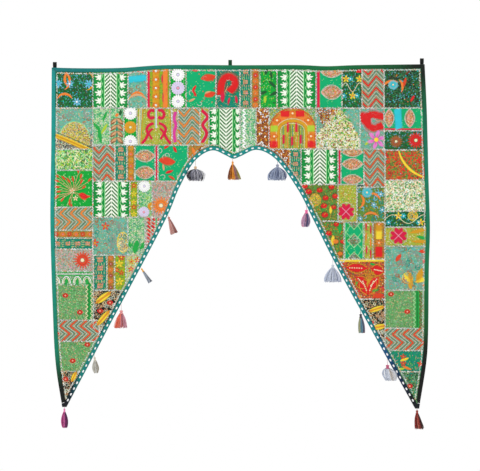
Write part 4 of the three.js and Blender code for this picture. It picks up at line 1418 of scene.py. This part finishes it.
     (speckle, ("red", "green"), 0.03)),
    (318, 378, -471, -582, "emerald", (medallion,)),
    (378, 405, -471, -582, "lime",
     (strokes, "crimson", [(0.25, 0.1), (0.75, 0.2), (0.3, 0.75), (0.75, 0.85)]),
     (strokes, "orange", [(0.25, 0.4), (0.75, 0.55)])),
    (405, 441, -471, -582, "ochre",
     (satin, "gold", [(423, -480), (423, -500)], 20, 2.1, 0.0),
     (satin, "yellow", [(423, -496), (423, -522)], 22, 2.1, 0.0),
     (satin, "red", [(423, -545), (423, -575)], 25, 2.1, 0.0),
     (flowers, [(0.5, 0.06, 9, 6, "orange", "cream"), (0.5, 0.56, 10, 6, "orange", "cream")])),
    (441, 575, -486, -543, "lime",
     (cross_flower, 0.3, 0.45, 23),
     (spray, [(0.55, 0.3, 50, 14, 12, "gold"), (0.6, 0.75, 46, 12, 0, "gold"),
              (0.7, 0.5, 36, 12, 350, "green")])),
    (300, 441, -582, -702, "brown", (lotus,)),
    (441, 575, -543, -675, "grey_teal",
     (scrolls, "grey", 40, 7, 2.6), (scrolls, "copper", 16, 6, 2.2), (scrolls, "teal", 16, 8),
     (spray, [(0.25, 0.35, 26, 16, 60, "orange_red"), (0.75, 0.12, 26, 14, 0, "orange_red"),
              (0.9, 0.25, 20, 10, 250, "red")]),
     (knotted_spot, 0.5, 0.72, 15, 16),
     (spray, [(0.58, 0.98, 48, 22, 96, "gold"), (0.72, 0.84, 46, 24, 74, "gold"),
              (0.68, 0.82, 46, 17, 22, "yellow"), (0.92, 0.98, 34, 18, 96, "gold"),
              (0.56, 0.82, 32, 16, 128, "yellow"), (0.84, 0.92, 18, 9, 60, "orange"),
              (0.94, 0.86, 18, 9, 80, "orange")])),
    (330, 441, -702, -834, "black",
     (net, [(0.56, 0.28, 1.0, 0.16, 17), (0.66, 0.66, 1.02, 0.6, 20)]),
     (ringed_dots, [(399, -771)])),
    (441, 573, -675, -789, "sage",
     (ringed_dots, [(459, -687), (507, -739)]),
     (rick_rack, 537, -668, -787, 19, ("mint", "brown"))),
    (441, 572, -789, -855, "grey", (zigzags, "orange_red", "x", 31, 5.2)),
    (441, 568, -855, -918, "teal",
     (spray, [(0.1, 0.2, 24, 12, 300, "gold"), (0.35, 0.5, 26, 10, 20, "yellow"),
              (0.4, 0.75, 28, 9, 340, "orange"), (0.3, 0.9, 20, 8, 10, "lime")]),
     (flowers, [(0.42, 0.3, 9, 5, "red", "orange"), (0.42, 0.62, 9, 5, "red", "orange"),
                (0.82, 0.62, 10, 5, "red", "orange")]),
     (speckle, ("green", "teal"), 0.05)),
    (441, 562, -918, -1012, "sage",
     (speckle, ("dark_green", "moss", "teal", "black"), 0.14, 7, 3),
     (ringed_dots, [(513, -961)])),
]


def lay_patch(x0, x1, top, bottom, fabric, *motifs):
    """One patch of fabric and what is sewn on it."""
    global area
    area = Area(x0, x1, top, bottom)
    nx, nz = (max(2, round(side / PATCH_GRID)) for side in (area.w, area.h))
    x, z = np.meshgrid(np.linspace(x0, x1, nx + 1), np.linspace(top, bottom, nz + 1))
    good = margin(*((v[:-1, :-1] + v[1:, 1:]) / 2 for v in (x, z))) > PATCH_MARGIN
    index = np.arange(x.size).reshape(x.shape)
    quads = np.stack([index[:-1, :-1], index[1:, :-1], index[1:, 1:], index[:-1, 1:]], -1)[good]
    add_to_layer("patches_" + fabric, x, z, area.lift(x, z), [quads])
    seams.append((x0, x1, top, bottom))
    speckle(*FABRICS[fabric][1:])
    for motif, *details in motifs:
        motif(*details)


# Sewing over the patches

COUCHING_PITCH = 4.2
COUCHING_LENGTH = 6.76
COUCHING_INSET = 16.5
BRAID_LENGTH = 6.72
BRAID_WIDTH = 3.4


def couch(points):
    """A worn pale braid with uneven silver zigzag stitches over it."""
    x, z, way, _ = walk(points, COUCHING_PITCH)
    n = len(x)
    drift = 0.5 * rng.normal(size=n)
    for colour, low, high in (("grey", 0.0, 0.3), ("silver", 0.3, 0.55), ("beige", 0.55, 0.7)):
        pick = rng.random(n)
        some = (pick >= low) & (pick < high)
        stitches(colour, x[some], z[some], way[some], BRAID_LENGTH, BRAID_WIDTH, 0.5, 0.25)
    slant = way + np.where(np.arange(n) % 2, 1, -1) * (0.95 + 0.12 * drift)
    pick = rng.random(n)
    for colour, low, high in (("silver", 0.0, 0.5), ("white", 0.5, 0.82), ("beige", 0.82, 0.9)):
        some = (pick >= low) & (pick < high)
        stitches(colour, (x + drift)[some], (z + drift)[some], slant[some], COUCHING_LENGTH,
                 1.9, 1.1, 0.5)


def merged(spans):
    """Overlapping stretches of one seam as single ones."""
    out = []
    for low, high in sorted(spans):
        if out and low <= out[-1][1] + 1:
            out[-1][1] = max(out[-1][1], high)
        else:
            out.append([low, high])
    return out


def sew_seams():
    """Couching along each seam once, and just inside the tapes."""
    global area
    area = WHOLE_CLOTH
    upright, level = {}, {}
    for x0, x1, top, bottom in seams:
        for x in (x0, x1):
            upright.setdefault(x, []).append((bottom, top))
        for z in (top, bottom):
            level.setdefault(z, []).append((x0, x1))
    for x, spans in upright.items():
        for low, high in merged(spans):
            couch([(x, low), (x, high)])
    for z, spans in level.items():
        for low, high in merged(spans):
            couch([(low, z), (high, z)])
    couch(outer_edge[2:-2] + outer_normals[2:-2] * COUCHING_INSET)
    couch(inner_edge[4:-4] + inner_normals[4:-4] * COUCHING_INSET)


RUNNING_PITCH = 19.5
RUNNING_LENGTH = 8.4
RUNNING_WIDTH = 4.4
RUNNING_HEIGHT = 1.2
RUNNING_LIFT = 0.05
RUNNING_SWELL = np.array([1, 1.5, 1.5, 1, 1.5, 1.5, 1.3, 1.3])


def running_stitches():
    """White hand stitches along the arch tape, on the face and, smaller, on the back."""
    places = walk(inner_edge[2:-2] + inner_normals[2:-2] * TAPE_WIDTH / 2, RUNNING_PITCH)[:3]
    x, z, way = (v[:, None] for v in places)
    starts = np.arange(len(x))[:, None] * len(STITCH)
    verts, faces = [], []
    for side, shift, size in ((-1, 0.0, 1.0), (1, 0.5, 0.6)):
        along = STITCH[:, 0] * RUNNING_SWELL * RUNNING_LENGTH * size + shift * RUNNING_PITCH / 2
        px, pz = turned(x, z, along, STITCH[:, 1] * RUNNING_WIDTH * size, way)
        for face in STITCH_FACES:
            faces += (sum(map(len, verts)) + starts + np.array(face[::-side])).tolist()
        lift = TAPE_BACK + RUNNING_LIFT + RUNNING_HEIGHT * STITCH[:, 2]
        verts.append(on_cloth(px, pz, side * lift))
    make_piece("running_stitches", np.concatenate(verts), faces,
               [thread_material("white_cotton", srgb(250, 250, 250), 0.6)], "arch_tape")


def make_layers():
    """One mesh for each fabric and each thread, with the material that belongs to it."""
    for name, layer in sorted(layers.items()):
        verts = np.concatenate(layer["verts"])
        used = np.zeros(len(verts), bool)
        for face in layer["faces"]:
            used[face] = True
        index = (np.cumsum(used) - 1).tolist()
        faces = [[index[c] for c in face] for face in layer["faces"]]
        kind, _, colour = name.partition("_")
        if kind == "patches":
            material = cloth_material("cotton_" + colour, srgb(*FABRICS[colour][0]))
        elif kind == "mirror":
            material = mirror_material("small_mirrors")
        else:
            gloss = (0.38, 0.25) if colour in ("silver", "gold") else (0.5, 0.0)
            material = thread_material("floss_" + colour, srgb(*THREADS[colour]), *gloss)
        make_piece(name, verts[used], faces, [material], "patchwork")


# Loops and tassels

LOOPS = [("loop_left", -550, 17, (12, 16, 14)), ("loop_centre", -23.5, 16, (8, 70, 36)),
         ("loop_right", 552, 18, (10, 16, 12))]
LOOP_WIDTH = 11
LOOP_SEWN = 10
LOOP_HALF_GAP = 3.4
LOOP_LEAST_GAP = 0.04
LOOP_CROWN = 1.5
LOOP_SHOULDER = 0.85


def loop_tape(name, x, rise, colour):
    """A folded tape standing above the edge, both ends sewn behind the top tape."""
    half = [(0.0, -LOOP_SEWN), (0.0, -4.0), (0.0, 1.0), (0.42, 3.4), (0.72, rise * 0.36),
            (0.92, rise * 0.47), (1.0, rise * 0.58), (0.95, rise * 0.69), (0.86, rise * 0.78),
            (0.66, rise * 0.89)]
    inner = [(LOOP_HALF_GAP * s, z) for s, z in half]
    outer = [(a + TAPE_THICKNESS, z) if z < rise * LOOP_SHOULDER
             else (a + 0.85 * TAPE_THICKNESS, z + 0.55) for a, z in inner]
    inner = [(max(a, LOOP_LEAST_GAP), z) for a, z in inner]
    inner.append((LOOP_CROWN * 0.5, rise - TAPE_THICKNESS))
    outer.append((LOOP_CROWN, rise))
    across = np.linspace(-LOOP_WIDTH / 2, LOOP_WIDTH / 2, 7)
    selvedge = 0.12 * np.cos(across / LOOP_WIDTH * TAU * 3)

    def sheet(rows, push):
        """The tape's path up one side and down the other, by places across it."""
        a, z = np.array(rows + [(-a, z) for a, z in rows[::-1]]).T[..., None]
        y = TAPE_BACK + FIT_GAP + TAPE_THICKNESS + a + push * selvedge * np.sign(a)
        return points_of(x + across, y, top_z(x) + z).reshape(len(a), -1, 3) * MM

    colouring = tape_material(name + "_dye", "X", [(-0.6, colour), (0.6, colour)])
    make_piece(name + "_tape", *ladder(sheet(outer, 1), sheet(inner, 0)), [colouring], "loop_tape",
               [name])


# Each tassel: its place along the arch, the length of its thread, its own length, width and
# thickness, how far its hem is pushed aside, its lean in degrees, how far it stands forward,
# its head's radius, how full the skirt is and at what share of the way down, the hem's share
# of the width, how many strands, how ruffled they are, its slot, its head's colour and the
# colours of its strands from left to right
TASSELS = [
    (-519.5, 5, 58, 23, 18, 1, 0, 0, 3.2, 1.0, 0.55, 0.6, 110, 0.5, "pink_yarn", (222, 120, 170),
     [(196, 78, 146), (222, 120, 176), (176, 70, 140), (84, 32, 80)]),
    (-430, 8, 49, 23, 18, 0, 5, 0, 3.4, 1.0, 0.6, 0.45, 110, 0.6, "beige_yarn", (206, 198, 180),
     [(216, 214, 206), (168, 158, 136), (226, 226, 222), (150, 140, 120)]),
    (-349.5, 20, 54, 42, 22, -2, 0, 0, 5.6, 0.8, 0.45, 1.0, 150, 0.6, "coral_yarn", (230, 150, 150),
     [(240, 112, 84), (236, 130, 106), (206, 132, 150), (214, 156, 170)]),
    (-292, 4, 50, 15, 14, 0, 33, 0, 3, 0.7, 0.5, 1.0, 60, 0.4, "grey_yarn", (236, 170, 70),
     [(150, 160, 174), (176, 184, 196), (120, 124, 134)]),
    (-211, 6, 54, 25, 18, 0, 19, 0, 4, 0.75, 0.5, 1.0, 100, 0.4, "coral_yarn", (190, 128, 120),
     [(190, 122, 116), (224, 178, 168), (158, 98, 94)]),
    (-127.5, 18, 45, 56, 34, 3, 0, 0, 4.6, 1.05, 0.35, 0.8, 220, 1.6, "grey_yarn", (214, 180, 140),
     [(40, 40, 46), (226, 224, 234), (140, 140, 156), (30, 30, 34), (236, 236, 240)]),
    (-16, 8, 56, 42, 24, 5, 0, 0, 3.4, 0.72, 0.45, 1.0, 140, 0.6, "orange_yarn", (232, 150, 60),
     [(140, 74, 32), (240, 150, 44), (250, 176, 60), (140, 80, 130), (164, 150, 60)]),
    (118.5, 10, 49, 62, 34, -2, 0, 0, 5, 0.92, 0.45, 0.9, 220, 1.3, "blue_yarn", (150, 156, 176),
     [(170, 182, 210), (128, 140, 172), (196, 206, 226), (110, 120, 154)]),
    (205, 13, 52, 30, 22, -3, 0, 0, 4.8, 1.0, 0.5, 0.8, 120, 0.8, "pink_yarn", (236, 104, 160),
     [(222, 150, 180), (190, 170, 200), (92, 88, 130), (218, 190, 208)]),
    (284, 17, 54, 56, 24, 0, 0, 0, 4.6, 0.85, 0.5, 0.95, 180, 0.6, "blue_yarn", (196, 204, 214),
     [(204, 212, 230), (218, 224, 236), (186, 194, 216)]),
    (367, 12, 58, 23, 18, 0, 4, 0, 4.6, 0.95, 0.5, 0.9, 110, 0.5, "blue_yarn", (70, 70, 78),
     [(190, 180, 110), (110, 160, 176), (90, 130, 156), (120, 60, 74)]),
    (447, 18, 48, 48, 12, 10, 0, 13, 5.6, 1.0, 0.4, 0.72, 150, 0.6, "beige_yarn", (196, 96, 130),
     [(200, 208, 224), (214, 220, 232), (222, 210, 196), (210, 214, 226)]),
    (535, 5, 57, 28, 20, 7, 0, 0, 4, 0.8, 0.45, 1.0, 120, 0.7, "maroon_yarn", (150, 50, 40),
     [(130, 28, 22), (168, 60, 46), (206, 150, 130), (96, 22, 16), (60, 20, 16)]),
]
HEAD_HEIGHT = 11
HEAD_ROWS = [(0.2, 0.0), (0.62, -0.5), (0.94, -1.8), (1.0, -3.0), (0.86, -4.4), (0.66, -5.3),
             (0.80, -5.8), (0.70, -6.3), (0.82, -6.9), (0.72, -7.4), (0.84, -8.0),
             (1.05, -9.2), (1.2, -10.2), (0.9, -11.2)]
HEAD_SIDES = 18
ROOT_DEPTH = 8
CORD_START = -1.2
CORD_OVERLAP = 1.5
CORD_RADIUS = 0.75
CORD_TWIST = 1.4
CORD_SIDES = 8
CORD_RINGS = 12
STRAND_SIDES = 4
STRAND_RINGS = 7
ROOT_SPREAD = 0.8


def tube(x, y, z):
    """Rings by sides of points, from arrays that fit each other."""
    return np.stack(np.broadcast_arrays(x, y, z), -1)


def tube_faces(rings, sides, start):
    """Faces of a tube by rings, closed at both ends."""
    faces = []
    end = start + (rings - 1) * sides
    for a in range(start, end, sides):
        for k in range(sides):
            b = (k + 1) % sides
            faces.append([a + k, a + k + sides, a + b + sides, a + b])
    faces.append([start + k for k in range(sides)])
    faces.append([end + k for k in reversed(range(sides))])
    return faces


def strand(root, belly, hem, thickness, wiggle):
    """The rings of one strand of yarn, which passes through its belly and ends cut off."""
    t = np.linspace(0, 1, STRAND_RINGS)[:, None]
    bend = 2 * belly - (root + hem) / 2
    x, y, z = ((1 - t) ** 2 * root + 2 * t * (1 - t) * bend + t * t * hem).T[..., None]
    sway = np.sin(t * TAU * 0.8 + wiggle[2]) * t
    radius = thickness * (0.35 + 0.65 * np.minimum(1, 3 * t))
    turn = np.arange(STRAND_SIDES) * TAU / STRAND_SIDES + wiggle[2]
    return tube(x + wiggle[0] * sway + radius * np.cos(turn),
                y + wiggle[1] * sway + radius * np.sin(turn), z)


def make_tassel(number, x, thread, length, width, thick, sway, lean, forward, radius, full, down,
                hem, strands, ruffle, slot, head, yarns):
    """A thread, a bound head and a skirt of many strands, hung on the arch's edge."""
    on_arch = ARCH_EDGE[0][0] <= x <= ARCH_EDGE[-1][0]
    z = float(arch_z(x)) if on_arch else inner_edge[0 if x < 0 else -1][1]
    top = -thread
    verts, faces, index = [], [], []

    def add(rings, material):
        new = tube_faces(*rings.shape[:2], sum(map(len, verts)))
        verts.append(rings.reshape(-1, 3))
        faces.extend(new)
        index.extend([material] * len(new))

    down_cord = np.linspace(0, 1, CORD_RINGS)[:, None]
    s = CORD_START + (top - CORD_OVERLAP - CORD_START) * down_cord
    turn = np.arange(CORD_SIDES) * TAU / CORD_SIDES
    twist = turn + CORD_TWIST * s
    add(tube(CORD_RADIUS * np.cos(twist) * (1 + 0.25 * np.cos(2 * turn)),
             CORD_RADIUS * np.sin(twist) - forward * down_cord, s), 0)
    turn = np.arange(HEAD_SIDES) * TAU / HEAD_SIDES
    share, drop = np.array(HEAD_ROWS).T[..., None]
    add(tube(radius * share * np.cos(turn), radius * share * np.sin(turn) - forward, top + drop), 0)
    root_z, hem_z = top - ROOT_DEPTH, top - length
    base, swing = np.array([0, -forward]), np.array([sway, 0])
    for _ in range(strands):
        angle, reach = rng.random() * TAU, math.sqrt(rng.random())
        out = reach * np.array([math.cos(angle), math.sin(angle)])
        fat = 0.55 + 0.3 * rng.random()
        short = (length - HEAD_HEIGHT) * 0.12 * rng.random() * (0.4 + ruffle)
        spread = out * (np.array([width, thick]) / 2 - fat)
        fullness = full * (1 - 0.12 * rng.random())
        root = np.append(base + out * ROOT_SPREAD * radius, root_z)
        belly = np.append(base + 0.4 * swing + spread * fullness,
                          root_z + (hem_z - root_z) * down)
        end = np.append(base + swing + spread * hem, hem_z + short)
        wiggle = [*(rng.normal(size=2) * 0.7 * ruffle), rng.random() * TAU]
        place = (out[0] + 1) / 2 * len(yarns) + rng.normal() * (0.2 + 0.5 * ruffle)
        add(strand(root, belly, end, fat, wiggle), 1 + int(np.clip(place, 0, len(yarns) - 1)))
    px, py, pz = np.concatenate(verts).T
    hung_x, hung_z = turned(x, z, px, pz, math.radians(lean))
    name = f"tassel_{number}"
    materials = [thread_material(f"{name}_head", srgb(*head), 0.7)]
    materials += [thread_material(f"{name}_yarn_{k}", srgb(*c), 0.75)
                  for k, c in enumerate(yarns, 1)]
    make_piece(name + "_yarn", points_of(hung_x, depth(x, z) + py, hung_z) * MM, faces, materials,
               slot, [name], indices=index)


# Stage, light and camera

PHOTO_WIDTH = 480
MM_PER_PIXEL = 3.0
VIEW_CENTRE = (6, -511)
CAMERA_DISTANCE = 4.2
SENSOR = 36
FLOOR = [(-2.2, -2.6, -1.5), (2.2, -2.6, -1.5), (2.2, 1.1, -1.5), (-2.2, 1.1, -1.5)]
LIGHTS = [("key", (-1.6, -2.2, 1.3), 1.2, 26), ("fill", (2.4, -2.0, -0.2), 1.6, 9)]
LIT_PLACE = (0, 0, -0.5)


def make_stage():
    """White surroundings, the pale floor, the lamps and the camera."""
    scene = bpy.context.scene
    world = bpy.data.worlds.new("studio")
    world.use_nodes = True
    world.node_tree.nodes["Background"].inputs["Color"].default_value = (1, 1, 1, 1)
    world.node_tree.nodes["Background"].inputs["Strength"].default_value = 1.0
    scene.world = world
    scene.view_settings.view_transform = "Standard"
    scene.view_settings.look = "None"
    mesh = bpy.data.meshes.new("floor")
    mesh.from_pydata(FLOOR, [], [(0, 1, 2, 3)])
    s = Shader("pale_floor", 0.9)
    mesh.materials.append(s.colour(s.mixed(s.noise(30), (0.86, 0.86, 0.85), (0.9, 0.9, 0.89))))
    floor = bpy.data.objects.new("floor", mesh)
    scene.collection.objects.link(floor)
    for name, place, size, power in LIGHTS:
        data = bpy.data.lights.new(name, "AREA")
        data.size, data.energy = size, power
        light = bpy.data.objects.new(name, data)
        light.location = place
        x, y, z = np.subtract(LIT_PLACE, place)
        tilt = math.pi / 2 + math.atan2(z, math.hypot(x, y))
        light.rotation_euler = (tilt, 0, math.atan2(y, x) - math.pi / 2)
        scene.collection.objects.link(light)
    camera = bpy.data.cameras.new("camera")
    camera.sensor_fit = "HORIZONTAL"
    camera.sensor_width = SENSOR
    camera.lens = SENSOR * CAMERA_DISTANCE / (PHOTO_WIDTH * MM_PER_PIXEL * MM)
    seen = bpy.data.objects.new("camera", camera)
    seen.location = (VIEW_CENTRE[0] * MM, -CAMERA_DISTANCE, VIEW_CENTRE[1] * MM)
    seen.rotation_euler = (math.pi / 2, 0, 0)
    scene.collection.objects.link(seen)
    scene.camera = seen


make_stage()
backing = backing_sheet()
make_tapes()
for patch in PATCHES:
    lay_patch(*patch)
sew_seams()
make_layers()
running_stitches()
for loop in LOOPS:
    loop_tape(*loop)
for number, row in enumerate(TASSELS, 1):
    make_tassel(number, *row)
